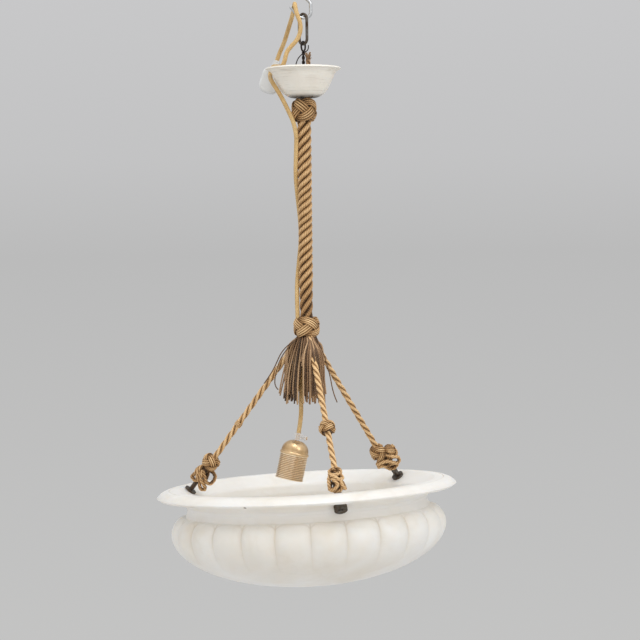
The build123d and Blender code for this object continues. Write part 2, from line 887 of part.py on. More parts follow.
# Skirt with ring ridges outside
ridge_step = skirt_height / (2 * skirt_ridges + 1)
skirt_outline = []
for step in range(2 * skirt_ridges + 1):
    radius = holder_diameter / 2 - ridge_depth * (step % 2)
    skirt_outline.append((radius, step * ridge_step + ridge_step / 5))
    skirt_outline.append((radius, (step + 1) * ridge_step - ridge_step / 5))
skirt_bore = holder_diameter / 2 - skirt_wall
with BuildPart() as holder_skirt:
    with BuildSketch(holder_profile):
        with BuildLine():
            Polyline(
                (skirt_bore, 0),
                (holder_diameter / 2, 0),
                *skirt_outline,
                (holder_diameter / 2, skirt_height),
                (skirt_bore, skirt_height),
                close=True,
            )
        make_face()
    revolve(axis=holder_axis)
holder_skirt.part.label = "holder_skirt"
export_step(holder_skirt.part, "parts/holder_skirt.step")

# Cap: a bead at its foot and a dome above, open for the cord grip's nipple
with BuildPart() as holder_cap:
    with BuildSketch(holder_profile):
        bead_radius = holder_diameter / 2 + bead_proud
        inner_radius = insert_flange / 2 + flex_fit
        with BuildLine():
            Line((inner_radius, skirt_height), (holder_diameter / 2, skirt_height))
            ThreePointArc(
                (holder_diameter / 2, skirt_height),
                (bead_radius, skirt_height + bead_height / 2),
                (holder_diameter / 2 - bead_proud, bead_top),
            )
            dome_radius = holder_diameter / 2 - bead_proud
            vault_radius = inner_radius - cap_wall
            dome = ThreePointArc(
                (dome_radius, bead_top),
                (dome_radius * dome_shoulder, bead_top + dome_height * dome_shoulder_rise),
                (nipple_diameter / 2, cap_top),
            )
            vault = ThreePointArc(
                (vault_radius, bead_top),
                (vault_radius * dome_shoulder, bead_top + (dome_height - cap_wall) * dome_shoulder_rise),
                (nipple_diameter / 2, cap_top - cap_wall),
            )
            Line(dome @ 1, vault @ 1)
            Polyline(
                (vault_radius, bead_top),
                (vault_radius, insert_top),
                (inner_radius, insert_top),
                (inner_radius, skirt_height),
            )
        make_face()
    revolve(axis=holder_axis)
holder_cap.part.label = "holder_cap"
export_step(holder_cap.part, "parts/holder_cap.step")

# Cord grip: a collar on a nipple, with a boss for its clamping screw
boss_height = cap_top + grip_height / 2
boss_side = Plane(
    origin=holder_plane.from_local_coords(Vector(grip_boss_reach, 0, boss_height)),
    z_dir=holder_plane.x_dir,
)
screw_depth = grip_boss_reach - flex_diameter / 2 - flex_fit - grip_screw_stop
with BuildPart() as cord_grip:
    with BuildSketch(holder_plane.offset(cap_top - nipple_length)):
        Circle(nipple_diameter / 2)
    extrude(amount=nipple_length)
    with BuildSketch(holder_plane.offset(cap_top)):
        Circle(grip_diameter / 2)
    extrude(amount=grip_height)
    with BuildSketch(boss_side):
        Circle(grip_boss_diameter / 2)
    extrude(amount=-grip_boss_reach)
    with BuildSketch(holder_plane.offset(cap_top - nipple_length)):
        Circle(flex_diameter / 2 + flex_fit)
    extrude(amount=nipple_length + grip_height, mode=Mode.SUBTRACT)
    with BuildSketch(boss_side):
        Circle(grip_screw_diameter / 2)
    extrude(amount=-screw_depth, mode=Mode.SUBTRACT)
cord_grip.part.label = "cord_grip"
export_step(cord_grip.part, "parts/cord_grip.step")

with BuildPart() as grip_screw:
    with BuildSketch(boss_side):
        Circle(grip_screw_diameter / 2)
    extrude(amount=-screw_depth)
    with BuildSketch(boss_side):
        Circle(grip_screw_head / 2)
    extrude(amount=grip_screw_proud)
    with BuildSketch(boss_side.offset(grip_screw_proud)):
        Rectangle(grip_screw_head, grip_screw_head / 5)
    extrude(amount=-grip_screw_proud / 2, mode=Mode.SUBTRACT)
grip_screw.part.label = "grip_screw"
export_step(grip_screw.part, "parts/grip_screw.step")

# Porcelain insert, its flange clamped between the skirt and the cap
with BuildPart() as porcelain_insert:
    with BuildSketch(holder_plane.offset(skirt_height)):
        Circle(insert_flange / 2)
    extrude(amount=insert_flange_height)
    with BuildSketch(holder_plane.offset(insert_bottom)):
        Circle(insert_diameter / 2)
    extrude(amount=insert_drop)
    with BuildSketch(holder_plane.offset(insert_bottom)):
        Circle(contact_pocket / 2)
    extrude(amount=contact_pocket_depth, mode=Mode.SUBTRACT)
    with BuildSketch(holder_plane.offset(insert_top)):
        with GridLocations(0, terminal_spacing, 1, 2):
            Circle(terminal_shank / 2)
    extrude(amount=-terminal_depth, mode=Mode.SUBTRACT)
porcelain_insert.part.label = "porcelain_insert"
export_step(porcelain_insert.part, "parts/porcelain_insert.step")

# Screw shell under the insert: the socket for the bulb's cap
with BuildPart() as screw_shell:
    with BuildSketch(holder_plane.offset(insert_bottom)):
        Circle(shell_bore / 2 + shell_wall)
        Circle(shell_bore / 2, mode=Mode.SUBTRACT)
    extrude(amount=-shell_length)
screw_shell.part.label = "screw_shell"
export_step(screw_shell.part, "parts/screw_shell.step")

# Centre contact in the insert's pocket
with BuildPart() as centre_contact:
    with BuildSketch(holder_plane.offset(insert_bottom + contact_pocket_depth)):
        Circle(contact_diameter / 2)
    extrude(amount=-contact_thickness)
    fillet(centre_contact.faces().sort_by(Axis.Z)[0].edges(), radius=contact_thickness / 3)
centre_contact.part.label = "centre_contact"
export_step(centre_contact.part, "parts/centre_contact.step")

# Terminal screws on top of the insert
with BuildPart() as terminal_screws:
    with BuildSketch(holder_plane.offset(insert_top)):
        with GridLocations(0, terminal_spacing, 1, 2):
            Circle(terminal_shank / 2)
    extrude(amount=-terminal_depth)
    with BuildSketch(holder_plane.offset(insert_top)):
        with GridLocations(0, terminal_spacing, 1, 2):
            Circle(terminal_head / 2)
    extrude(amount=terminal_head_height)
terminal_screws.part.label = "terminal_screws"
export_step(terminal_screws.part, "parts/terminal_screws.step")
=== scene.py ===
import random
from math import atan2, cos, exp, pi, radians, sin, sqrt, tau

import bpy
from mathutils import Matrix, Vector


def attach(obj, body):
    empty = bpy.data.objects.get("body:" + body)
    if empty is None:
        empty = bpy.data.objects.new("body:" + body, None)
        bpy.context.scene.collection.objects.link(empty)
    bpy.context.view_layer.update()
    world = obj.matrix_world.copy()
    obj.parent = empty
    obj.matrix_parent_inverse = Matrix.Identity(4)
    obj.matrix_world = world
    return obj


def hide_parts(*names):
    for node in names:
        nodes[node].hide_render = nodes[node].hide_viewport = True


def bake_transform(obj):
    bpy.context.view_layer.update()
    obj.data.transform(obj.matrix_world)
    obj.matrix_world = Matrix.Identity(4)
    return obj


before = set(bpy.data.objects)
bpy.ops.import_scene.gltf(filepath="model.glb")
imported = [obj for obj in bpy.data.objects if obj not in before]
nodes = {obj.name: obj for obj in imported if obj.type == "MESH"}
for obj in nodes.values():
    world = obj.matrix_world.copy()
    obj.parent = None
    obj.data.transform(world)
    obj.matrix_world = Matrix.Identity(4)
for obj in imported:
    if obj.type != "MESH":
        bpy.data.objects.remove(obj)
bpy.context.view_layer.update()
MM = 0.001
UP = Vector((0, 0, 1))
FORWARD = Vector((0, -1, 0))


def placed(name, data):
    """A new object in the scene."""
    made = bpy.data.objects.new(name, data)
    bpy.context.collection.objects.link(made)
    return made


# Camera: a long lens a little above mid height, with the photograph's small roll
camera = placed("camera", bpy.data.cameras.new("camera"))
camera.data.lens = 129.4
camera.data.sensor_width = 36
camera.location = (0, -3.22, -0.402)
camera.rotation_euler = (radians(90 - 1.17), radians(0.67), radians(-0.35))
bpy.context.scene.camera = camera
bpy.context.scene.view_settings.view_transform = "Standard"


# Bowl, as in the solids: its crest's centre, its lean and its lobes
BOWL_CREST = Vector((-3, 0, -696)) * MM
BOWL_LEAN = radians(2.5)
LOBE_COUNT = 24
LOBE_TURN = radians(0.9 - 90)

# Marks on the bowl: distances from its axis, depths under its crest, and a nick in its lip
INSIDE_RADIUS = 162.5 * MM
QUIRK_RADIUS = 192.4 * MM
QUIRK_DEPTH = 6 * MM
NECK_LIGHT_DEPTH = 26 * MM
NECK_DEPTH = 27 * MM
LOBE_TOP = 38.5 * MM
LOBE_ARCH = 6 * MM
VALLEY_TOP = 38 * MM
VALLEY_FOOT = 72 * MM
HOLLOW_TOP = 36 * MM
HOLLOW_FOOT = 110 * MM
LIP_NICK = Vector((-84.2, -190, -711)) * MM
NICK_RADIUS = 1.7 * MM

# A dark patch on the canopy's foot
DARK_PATCH_TOP = -148.5 * MM
DARK_PATCH_RADIUS = 28.5 * MM

# Lampholder, as in the solids, and the swing that the tassel leaves room for
HOLDER_MOUTH = Vector((-27, 0, -690)) * MM
HOLDER_LEAN = radians(12.4)
HOLDER_SWING = sin(radians(7.5))
RIB_STEP = 35 / 14.5 * MM
REFLECTION_BAND_HEIGHT = 42.5 * MM


class Value:
    """A socket of a finish. Sums and products of values add Math nodes."""

    def __init__(self, finish, socket):
        self.finish = finish
        self.socket = socket

    def math(self, operation, first, second):
        return self.finish.node("ShaderNodeMath", {"operation": operation}, {0: first, 1: second})

    def __add__(self, other):
        return self.math("ADD", self, other)

    def __radd__(self, other):
        return self.math("ADD", other, self)

    def __sub__(self, other):
        return self.math("SUBTRACT", self, other)

    def __rsub__(self, other):
        return self.math("SUBTRACT", other, self)

    def __mul__(self, other):
        return self.math("MULTIPLY", self, other)

    def __rmul__(self, other):
        return self.math("MULTIPLY", other, self)

    def __truediv__(self, other):
        return self.math("DIVIDE", self, other)

    def __pow__(self, other):
        return self.math("POWER", self, other)

    def wave(self):
        return self.math("SINE", self, 0.0)

    def size(self):
        return self.math("ABSOLUTE", self, 0.0)

    def turn_to(self, other):
        return self.math("ARCTAN2", self, other)

    def clip(self):
        return self.math("MINIMUM", self.math("MAXIMUM", self, 0.0), 1.0)

    def above(self, level, slope):
        """0 up to a level, and from there up to 1 at a slope."""
        return ((self - level) * slope).clip()

    def below(self, level, slope):
        """0 down to a level, and from there up to 1 at a slope."""
        return ((level - self) * slope).clip()

    def near(self, level, slope):
        """1 at a level, and from there down to 0 on both sides at a slope."""
        return 1 - ((self - level).size() * slope).clip()


class Finish:
    """A material and its node tree."""

    def __init__(self, name, constants):
        self.material = bpy.data.materials.new(name)
        self.material.use_nodes = True
        self.tree = self.material.node_tree
        self.shader = self.tree.nodes["Principled BSDF"]
        for socket, value in constants.items():
            self.shader.inputs[socket].default_value = value

    def node(self, kind, settings=None, inputs=None, output=0):
        """Adds a node: its settings first, then its sockets' values or links."""
        made = self.tree.nodes.new(kind)
        for name, value in (settings or {}).items():
            if name == "stops":
                ramp = made.color_ramp
                while len(ramp.elements) < len(value):
                    ramp.elements.new(0.5)
                for element, (place, colour) in zip(ramp.elements, value):
                    element.position = place
                    element.color = (*colour, 1)
            else:
                setattr(made, name, value)
        for key, value in (inputs or {}).items():
            socket = made.inputs[key]
            if isinstance(value, Value):
                self.tree.links.new(value.socket, socket)
            else:
                socket.default_value = value
        if isinstance(output, tuple):
            return [Value(self, made.outputs[key]) for key in output]
        return Value(self, made.outputs[output])

    def feed(self, socket, value):
        self.tree.links.new(value.socket, self.shader.inputs[socket])

    def place(self):
        return self.node("ShaderNodeTexCoord", output="Object")

    def axes(self, vector):
        return self.node("ShaderNodeSeparateXYZ", {}, {0: vector}, output=(0, 1, 2))

    def stretch(self, vector, scale):
        return self.node("ShaderNodeMapping", {}, {"Vector": vector, "Scale": scale})

    def noise(self, vector, scale, detail=3.0, roughness=0.55, distortion=0.0):
        sockets = {"Vector": vector, "Scale": scale, "Detail": detail, "Roughness": roughness}
        return self.node("ShaderNodeTexNoise", {}, {**sockets, "Distortion": distortion})

    def ramp(self, value, *stops):
        return self.node("ShaderNodeValToRGB", {"stops": stops}, {"Fac": value})

    def mix(self, share, first, second):
        first = first if isinstance(first, Value) else (*first, 1)
        second = second if isinstance(second, Value) else (*second, 1)
        return self.node("ShaderNodeMix", {"data_type": "RGBA"}, {0: share, 6: first, 7: second}, output=2)

    def relief(self, height, depth, strength):
        bump = self.node("ShaderNodeBump", {}, {"Height": height, "Distance": depth, "Strength": strength})
        self.feed("Normal", bump)

    def shade(self):
        """The shade that each strand carries, from 0 to 1: painted shade where it lies deep, and its own
        tone.
        """
        return self.node("ShaderNodeAttribute", {"attribute_name": "shade"}, output="Fac")

    def round_tube(self):
        """Length along a strand in metres, and the share of a turn round it."""
        along, around, _ = self.axes(self.node("ShaderNodeUVMap", {"uv_map": "strand"}))
        return along, around


STONE_IOR = 1.5
STONE_SCATTER = (1.0, 0.85, 0.7)


def alabaster_bowl_finish():
    """Warm white stone: soft beige clouds, a soiled neck, brown lines where the lobes meet, and painted
    light and shade.
    """
    vein_tan = (0.62, 0.53, 0.43)
    neck_painted_light = (0.96, 0.94, 0.905)
    neck_soil = (0.66, 0.55, 0.42)
    seam_soil_and_shade = (0.43, 0.34, 0.25)
    hollow_shade_tan = (0.62, 0.54, 0.45)
    quirk_shade_grey = (0.46, 0.40, 0.33)
    nick_brown = (0.16, 0.12, 0.09)
    finish = Finish(
        "polished_alabaster",
        {
            "IOR": STONE_IOR,
            "Subsurface Weight": 0.5,
            "Subsurface Scale": 40 * MM,
            "Subsurface Radius": STONE_SCATTER,
        },
    )
    place = finish.place()
    x, y, z = finish.axes(place)
    out = (x - BOWL_CREST.x) * cos(BOWL_LEAN) + (z - BOWL_CREST.z) * sin(BOWL_LEAN)
    depth = (x - BOWL_CREST.x) * sin(BOWL_LEAN) - (z - BOWL_CREST.z) * cos(BOWL_LEAN)
    reach = (out * out + y * y) ** 0.5
    lobe = ((y.turn_to(out) - LOBE_TURN) * (LOBE_COUNT / 2)).wave().size()
    outside = reach.above(INSIDE_RADIUS, 600)

    # Clouds and thin veins
    cloud = finish.noise(place, 9.0, detail=4.0, distortion=0.4)
    stops = ((0.32, (0.80, 0.745, 0.665)), (0.52, (0.875, 0.845, 0.795)), (0.70, (0.90, 0.88, 0.845)))
    tone = finish.ramp(cloud, *stops)
    squat = finish.stretch(place, (1.0, 1.0, 1.8))
    vein = finish.noise(squat, 5.0, detail=5.0, roughness=0.6, distortion=1.2)
    tone = finish.mix(vein.near(0.5, 40) * 0.07, tone, vein_tan)

    # The neck: a pale band of painted light against the lip's shade, and a little soil on it
    soil = finish.noise(place, 26.0, detail=4.0, roughness=0.6)
    tone = finish.mix(depth.near(NECK_LIGHT_DEPTH, 80) * outside * 0.8, tone, neck_painted_light)
    soiled = depth.near(NECK_DEPTH, 75) * outside * soil.above(0.3, 2.2) * 0.05
    tone = finish.mix(soiled, tone, neck_soil)

    # The lobes: brown lines over them and between them, partly soil and partly painted shade where they
    # meet, and painted shade in the hollows
    arch = (1 - lobe) ** 3 * LOBE_ARCH + LOBE_TOP
    rim = depth.near(arch, 520) * (1 - lobe * 0.88)
    valley = (1 - (lobe * 9).clip()) * depth.above(VALLEY_TOP, 500) * depth.below(VALLEY_FOOT, 34)
    carved_and_shaded = (rim + valley).clip() * outside
    tone = finish.mix(carved_and_shaded * soil.above(0.22, 1.9) * 0.44, tone, seam_soil_and_shade)
    painted_hollow_shade = (1 - lobe) ** 5 * depth.above(HOLLOW_TOP, 120) * depth.below(HOLLOW_FOOT, 22) * outside
    tone = finish.mix(painted_hollow_shade * 0.34, tone, hollow_shade_tan)

    # The lip: a grey line of painted shade along the quirk round its top, and the nick
    quirk_shade = reach.near(QUIRK_RADIUS, 850) * depth.below(QUIRK_DEPTH, 400)
    tone = finish.mix(quirk_shade * 0.5, tone, quirk_shade_grey)
    ends = {0: place, 1: LIP_NICK}
    away = finish.node("ShaderNodeVectorMath", {"operation": "DISTANCE"}, ends, output="Value")
    tone = finish.mix((1 - away.above(NICK_RADIUS, 1500)) * 0.85, tone, nick_brown)

    finish.feed("Base Color", tone)
    finish.feed("Roughness", 0.3 + finish.noise(place, 45.0) * 0.24)
    finish.relief(finish.noise(place, 150.0, detail=2.0) + carved_and_shaded * -1.2, 0.6 * MM, 0.3)
    return finish.material


def alabaster_canopy_finish():
    """Turned stone: broken grey tool lines round it, and a dark patch over the knot."""
    tool_grey = (0.42, 0.37, 0.31)
    foot_black = (0.045, 0.04, 0.035)
    finish = Finish(
        "turned_alabaster",
        {
            "IOR": STONE_IOR,
            "Subsurface Weight": 0.1,
            "Subsurface Scale": 8 * MM,
            "Subsurface Radius": STONE_SCATTER,
        },
    )
    place = finish.place()
    x, y, z = finish.axes(place)
    cloud = finish.noise(place, 20.0, detail=4.0, roughness=0.6, distortion=0.5)
    stops = ((0.3, (0.79, 0.735, 0.645)), (0.55, (0.86, 0.82, 0.74)), (0.75, (0.90, 0.875, 0.815)))
    tone = finish.ramp(cloud, *stops)
    turning = finish.noise(finish.stretch(place, (5.0, 5.0, 240.0)), 1.0, detail=2.0, roughness=0.5)
    broken = finish.noise(place, 55.0, detail=2.0).above(0.44, 8)
    tone = finish.mix(turning.near(0.58, 42) * broken * 0.5, tone, tool_grey)
    reach = (x * x + y * y) ** 0.5
    patchy = (finish.noise(place, 110.0) * 2.0).clip()
    # Darkened in patches round the middle of the foot, over the knot
    dark_patch = (z.below(DARK_PATCH_TOP, 150) * reach.below(DARK_PATCH_RADIUS, 110) * patchy).clip()
    tone = finish.mix(dark_patch * 0.9, tone, foot_black)
    finish.feed("Base Color", tone)
    finish.feed("Roughness", 0.36 + finish.noise(place, 60.0) * 0.22)
    finish.relief(turning, 0.4 * MM, 0.35)
    return finish.material


def rope_finish(name, dark, mid, light, yarns, yarn_turns, depth):
    """Twisted fibre: yarns run round each strand, and the painted shade that it carries darkens it where it
    dives.
    """
    finish = Finish(name, {"Sheen Weight": 0.25, "Sheen Roughness": 0.4, "Sheen Tint": (*light, 1)})
    place = finish.place()
    along, around = finish.round_tube()
    yarn = ((around * yarns + along * yarn_turns) * tau).wave() * 0.5 + 0.5
    fibre = finish.noise(finish.stretch(place, (1.0, 1.0, 0.35)), 900.0, detail=2.0)
    patch = finish.noise(place, 70.0)
    level = (finish.shade() * 0.92 + yarn * 0.16 + fibre * 0.18 + patch * 0.34 - 0.32).clip()
    finish.feed("Base Color", finish.ramp(level, (0.06, dark), (0.45, mid), (0.9, light)))
    finish.feed("Roughness", 0.5 + fibre * 0.25)
    finish.relief(yarn * 0.7 + fibre * 0.3, depth, 0.8)
    return finish.material


def braid_finish():
    """Golden braided cover of the flex."""
    ends = 12
    turns_per_metre = 620
    sheen = {"Sheen Weight": 0.3, "Sheen Roughness": 0.35, "Sheen Tint": (0.9, 0.7, 0.4, 1)}
    finish = Finish("golden_braid", {"Roughness": 0.5, **sheen})
    along, around = finish.round_tube()
    left = ((around * ends + along * turns_per_metre) * tau).wave()
    right = ((around * ends - along * turns_per_metre) * tau).wave()
    weave = left * right * 0.5 + 0.5
    patch = finish.noise(finish.place(), 45.0)
    level = (weave * 0.35 + patch * 0.75 - 0.06).clip()
    stops = ((0.1, (0.42, 0.23, 0.07)), (0.5, (0.72, 0.47, 0.19)), (0.9, (0.88, 0.66, 0.34)))
    finish.feed("Base Color", finish.ramp(level, *stops))
    finish.relief(weave, 0.4 * MM, 0.8)
    return finish.material


def painted_rib_shade(finish, tone, height):
    """Painted shade: dark grooves between the skirt's ribs."""
    groove = (((height / RIB_STEP - 0.5) * tau).wave() * 0.5 + 0.5) ** 1.5
    return finish.mix(groove * 0.8, tone, (0.36, 0.205, 0.085))


def dome_painted_reflection(finish, tone, height):
    """A dark band of painted reflection round the cap."""
    return finish.mix(height.near(REFLECTION_BAND_HEIGHT, 130) * 0.62, tone, (0.40, 0.235, 0.10))


def metal_finish(name, clean, worn, roughness, spread, grain, metallic=1.0, spots=0.5, marks=None):
    """Metal that is worn in patches. Marks, if any, paint shade and reflections by the height over the
    lampholder's mouth.
    """
    finish = Finish(name, {"Metallic": metallic})
    place = finish.place()
    patch = finish.noise(place, grain, detail=4.0, roughness=0.6, distortion=0.4)
    tone = finish.mix(((patch - spots) * 4 + 0.5).clip(), clean, worn)
    if marks:
        x, _, z = finish.axes(place)
        height = (x - HOLDER_MOUTH.x) * sin(HOLDER_LEAN) + (z - HOLDER_MOUTH.z) * cos(HOLDER_LEAN)
        tone = marks(finish, tone, height)
    finish.feed("Base Color", tone)
    finish.feed("Roughness", roughness + patch * spread)
    finish.relief(finish.noise(place, grain * 9), 0.2 * MM, 0.12)
    return finish.material


def moulded_finish(name, light, soiled, roughness, alpha=1.0):
    """Moulded or fired white material with soiled patches."""
    finish = Finish(name, {"Alpha": alpha, "Coat Weight": 0.15})
    place = finish.place()
    patch = finish.noise(place, 55.0, detail=4.0)
    finish.feed("Base Color", finish.mix(patch.above(0.45, 3), light, soiled))
    finish.feed("Roughness", roughness + patch * 0.16)
    finish.relief(finish.noise(place, 500.0, detail=2.0), 0.2 * MM, 0.15)
    return finish.material


bowl_stone = alabaster_bowl_finish()
canopy_stone = alabaster_canopy_finish()
golden_rope = rope_finish(
    "golden_rope",
    dark=(0.05, 0.02, 0.005),
    mid=(0.43, 0.228, 0.08),
    light=(0.86, 0.585, 0.30),
    yarns=4,
    yarn_turns=260,
    depth=0.5 * MM,
)
knot_yarn = rope_finish(
    "golden_knot_yarn",
    dark=(0.04, 0.017, 0.005),
    mid=(0.41, 0.216, 0.076),
    light=(0.85, 0.585, 0.305),
    yarns=3,
    yarn_turns=330,
    depth=0.4 * MM,
)
brown_yarn = rope_finish(
    "brown_tassel_yarn",
    dark=(0.024, 0.013, 0.008),
    mid=(0.245, 0.133, 0.062),
    light=(0.54, 0.35, 0.19),
    yarns=3,
    yarn_turns=420,
    depth=0.3 * MM,
)
dark_wire = metal_finish(
    "dark_wire",
    clean=(0.06, 0.045, 0.04),
    worn=(0.025, 0.02, 0.02),
    roughness=0.4,
    spread=0.25,
    grain=180,
    metallic=0.85,
)
iron = metal_finish(
    "dark_iron",
    clean=(0.16, 0.15, 0.135),
    worn=(0.08, 0.05, 0.03),
    roughness=0.4,
    spread=0.3,
    grain=110,
    metallic=0.85,
)
bright_plate = metal_finish(
    "bright_plate",
    clean=(0.60, 0.61, 0.62),
    worn=(0.36, 0.355, 0.35),
    roughness=0.1,
    spread=0.16,
    grain=140,
    spots=0.7,
)
aged_brass = metal_finish(
    "aged_brass",
    clean=(0.83, 0.61, 0.37),
    worn=(0.66, 0.45, 0.24),
    roughness=0.24,
    spread=0.16,
    grain=75,
)
# Painted highlight: the skirt's brass is lighter than the other brass, for the bright reflections on its
# ribs
ribbed_brass = metal_finish(
    "ribbed_brass",
    clean=(1.0, 0.86, 0.66),
    worn=(0.94, 0.75, 0.51),
    roughness=0.24,
    spread=0.16,
    grain=75,
    marks=painted_rib_shade,
)
# The cap's dark band is a painted reflection
cap_brass = metal_finish(
    "cap_brass",
    clean=(0.85, 0.63, 0.38),
    worn=(0.68, 0.47, 0.25),
    roughness=0.27,
    spread=0.16,
    grain=75,
    marks=dome_painted_reflection,
)
white_moulding = moulded_finish("white_moulding", (0.72, 0.73, 0.73), (0.60, 0.60, 0.58), 0.3)
clear_moulding = moulded_finish("cloudy_moulding", (0.93, 0.94, 0.95), (0.84, 0.84, 0.83), 0.2, alpha=0.3)
porcelain = moulded_finish("white_porcelain", (0.80, 0.79, 0.75), (0.66, 0.62, 0.55), 0.16)
flex_cover = braid_finish()


def across(way):
    """Two directions square to a way, which make a right-handed set with it."""
    way = way.normalized()
    side = way.cross(UP if abs(way.z) < 0.9 else Vector((1, 0, 0))).normalized()
    return side, way.cross(side)


def off_axis(point, start, way):
    """The step to a point from the nearest place on a straight line."""
    return (point - start) - way * (point - start).dot(way)


def from_centre(centre):
    """The way outwards from a point."""
    return lambda point: (point - centre).normalized()


def from_axis(start, way):
    """The way outwards from a straight line."""
    return lambda point: off_axis(point, start, way).normalized()


def lengths_along(points):
    """The length of a line up to each of its points."""
    lengths = [0.0]
    for here, after in zip(points, points[1:]):
        lengths.append(lengths[-1] + (after - here).length)
    return lengths


def spaced(points, step):
    """The same line with points at an even step."""
    lengths = lengths_along(points)
    count = max(2, round(lengths[-1] / step))
    line = []
    run = 0
    for number in range(count + 1):
        want = lengths[-1] * number / count
        while run < len(points) - 2 and lengths[run + 1] < want:
            run += 1
        share = (want - lengths[run]) / max(lengths[run + 1] - lengths[run], 1e-9)
        line.append(points[run].lerp(points[run + 1], min(max(share, 0), 1)))
    return line


def smooth_line(name, *route):
    """Points along a smooth spline whose control points are given in millimetres."""
    curve = bpy.data.curves.new(name, "CURVE")
    curve.dimensions = "3D"
    spline = curve.splines.new("NURBS")
    spline.points.add(len(route) - 1)
    for knot, place in zip(spline.points, route):
        knot.co = (*(Vector(place) * MM), 1)
    spline.order_u = 3
    spline.use_endpoint_u = True
    spline.resolution_u = 16
    holder = placed(name, curve)
    line = bpy.data.meshes.new_from_object(holder)
    points = [vertex.co.copy() for vertex in line.vertices]
    bpy.data.objects.remove(holder)
    bpy.data.curves.remove(curve)
    bpy.data.meshes.remove(line)
    return points


def tangents(points, closed):
    """The way that a line runs at each of its points."""
    count = len(points)
    ways = []
    for place in range(count):
        if closed:
            way = points[(place + 1) % count] - points[place - 1]
        else:
            way = points[min(place + 1, count - 1)] - points[max(place - 1, 0)]
        ways.append(way.normalized())
    return ways


def carried(points, closed=False):
    """Two sides of a line at each of its points, which don't twist along it."""
    ways = tangents(points, closed)
    side = across(ways[0])[0]
    sides = []
    for way in ways:
        side = (side - way * side.dot(way)).normalized()
        sides.append(side)
    if closed:
        back = (side - ways[0] * side.dot(ways[0])).normalized()
        miss = atan2(ways[0].dot(back.cross(sides[0])), back.dot(sides[0]))
        for number, way in enumerate(ways):
            sides[number] = Matrix.Rotation(miss * number / len(ways), 3, way) @ sides[number]
    return [(side, way.cross(side)) for side, way in zip(sides, ways)]


class Strand:
    """One round run of yarn or wire: points, a radius and a shade at each, open or closed.

    Where outward is given, painted shade darkens the run on the sides that it turns away from that
    direction, and a higher fall makes its sides darken sooner.
    """

    def __init__(self, points, radius, shade=1.0, closed=False, outward=None, fall=1.0):
        count = len(points)
        self.points = [Vector(p) for p in points]
        self.radii = list(radius) if hasattr(radius, "__len__") else [radius] * count
        self.shades = list(shade) if hasattr(shade, "__len__") else [shade] * count
        self.closed = closed
        self.outward = outward
        self.fall = fall


# Painted shade: how light a strand's side that is turned away stays
HIDDEN_SHADE = 0.16


def strand_mesh(name, strands, sides, finish):
    """One object made of many round strands, with its length and turn as a map."""
    corners = []
    faces = []
    shades = []
    maps = []
    for strand in strands:
        first = len(corners)
        count = len(strand.points)
        lengths = lengths_along(strand.points)
        gap = (strand.points[0] - strand.points[-1]).length
        rings = zip(strand.points, strand.radii, strand.shades, carried(strand.points, strand.closed))
        for point, radius, shade, (side, other) in rings:
            out = strand.outward(point) if strand.outward else None
            for number in range(sides):
                turn = tau * number / sides
                face = side * cos(turn) + other * sin(turn)
                corners.append(point + face * radius)
                # Painted shade: sides turned away from outward get darker
                seen = max(face.dot(out), 0) ** strand.fall if out else 1.0
                shades.append(shade * (HIDDEN_SHADE + (1 - HIDDEN_SHADE) * seen))
        for ring in range(count if strand.closed else count - 1):
            after = (ring + 1) % count
            here = first + ring * sides
            there = first + after * sides
            near = lengths[ring]
            far = lengths[after] if after else lengths[ring] + gap
            for number in range(sides):
                beside = (number + 1) % sides
                faces.append((here + number, here + beside, there + beside, there + number))
                low = number / sides
                high = (number + 1) / sides
                maps.append(((near, low), (near, high), (far, high), (far, low)))
        if not strand.closed:
            start = tuple(first + n for n in reversed(range(sides)))
            end = tuple(first + (count - 1) * sides + n for n in range(sides))
            faces.extend((start, end))
            maps.append(tuple((0.0, n / sides) for n in range(sides)))
            maps.append(tuple((lengths[-1], n / sides) for n in range(sides)))
    mesh = bpy.data.meshes.new(name)
    mesh.from_pydata([tuple(c) for c in corners], [], faces)
    layer = mesh.uv_layers.new(name="strand")
    layer.data.foreach_set("uv", [v for face in maps for pair in face for v in pair])
    mesh.attributes.new("shade", "FLOAT", "POINT").data.foreach_set("value", shades)
    mesh.shade_smooth()
    mesh.materials.append(finish)
    return placed(name, mesh)


# The hand of a lay: its strands lean like a Z or like an S
Z_LAID = 1
S_LAID = -1


def laid(line, count, ring, radius, pitch, hand, shade=1.0, outward=None, fall=1.0):
    """Strands laid round a line, at a ring's radius and a pitch that may both change with the length."""
    frames = carried(line)
    runs = []
    for number in range(count):
        points = []
        length = 0.0
        turn = tau * number / count
        for place, (point, (side, other)) in enumerate(zip(line, frames)):
            if place:
                step = (point - line[place - 1]).length
                length += step
                turn += hand * tau * step / (pitch(length) if callable(pitch) else pitch)
            reach = ring(length) if callable(ring) else ring
            points.append(point + (side * cos(turn) + other * sin(turn)) * reach)
        runs.append(Strand(points, radius, shade, outward=outward, fall=fall))
    return runs


# Plaited knots: counts, a small turn that gives a yarn's path, its lift and spacing in yarn thicknesses,
# how thin it is drawn, and the roundness of the barrel under it
PLAIT_LEADS = 3
PLAIT_BIGHTS = 4
PLAIT_STEPS = 360
PLAIT_NUDGE = 0.01
PLAIT_LIFT = 0.475
PLAIT_SPACING = 0.98
PLAIT_THINNING = 0.9
BARREL_POWER = 2.2
CORE_STEPS = 12


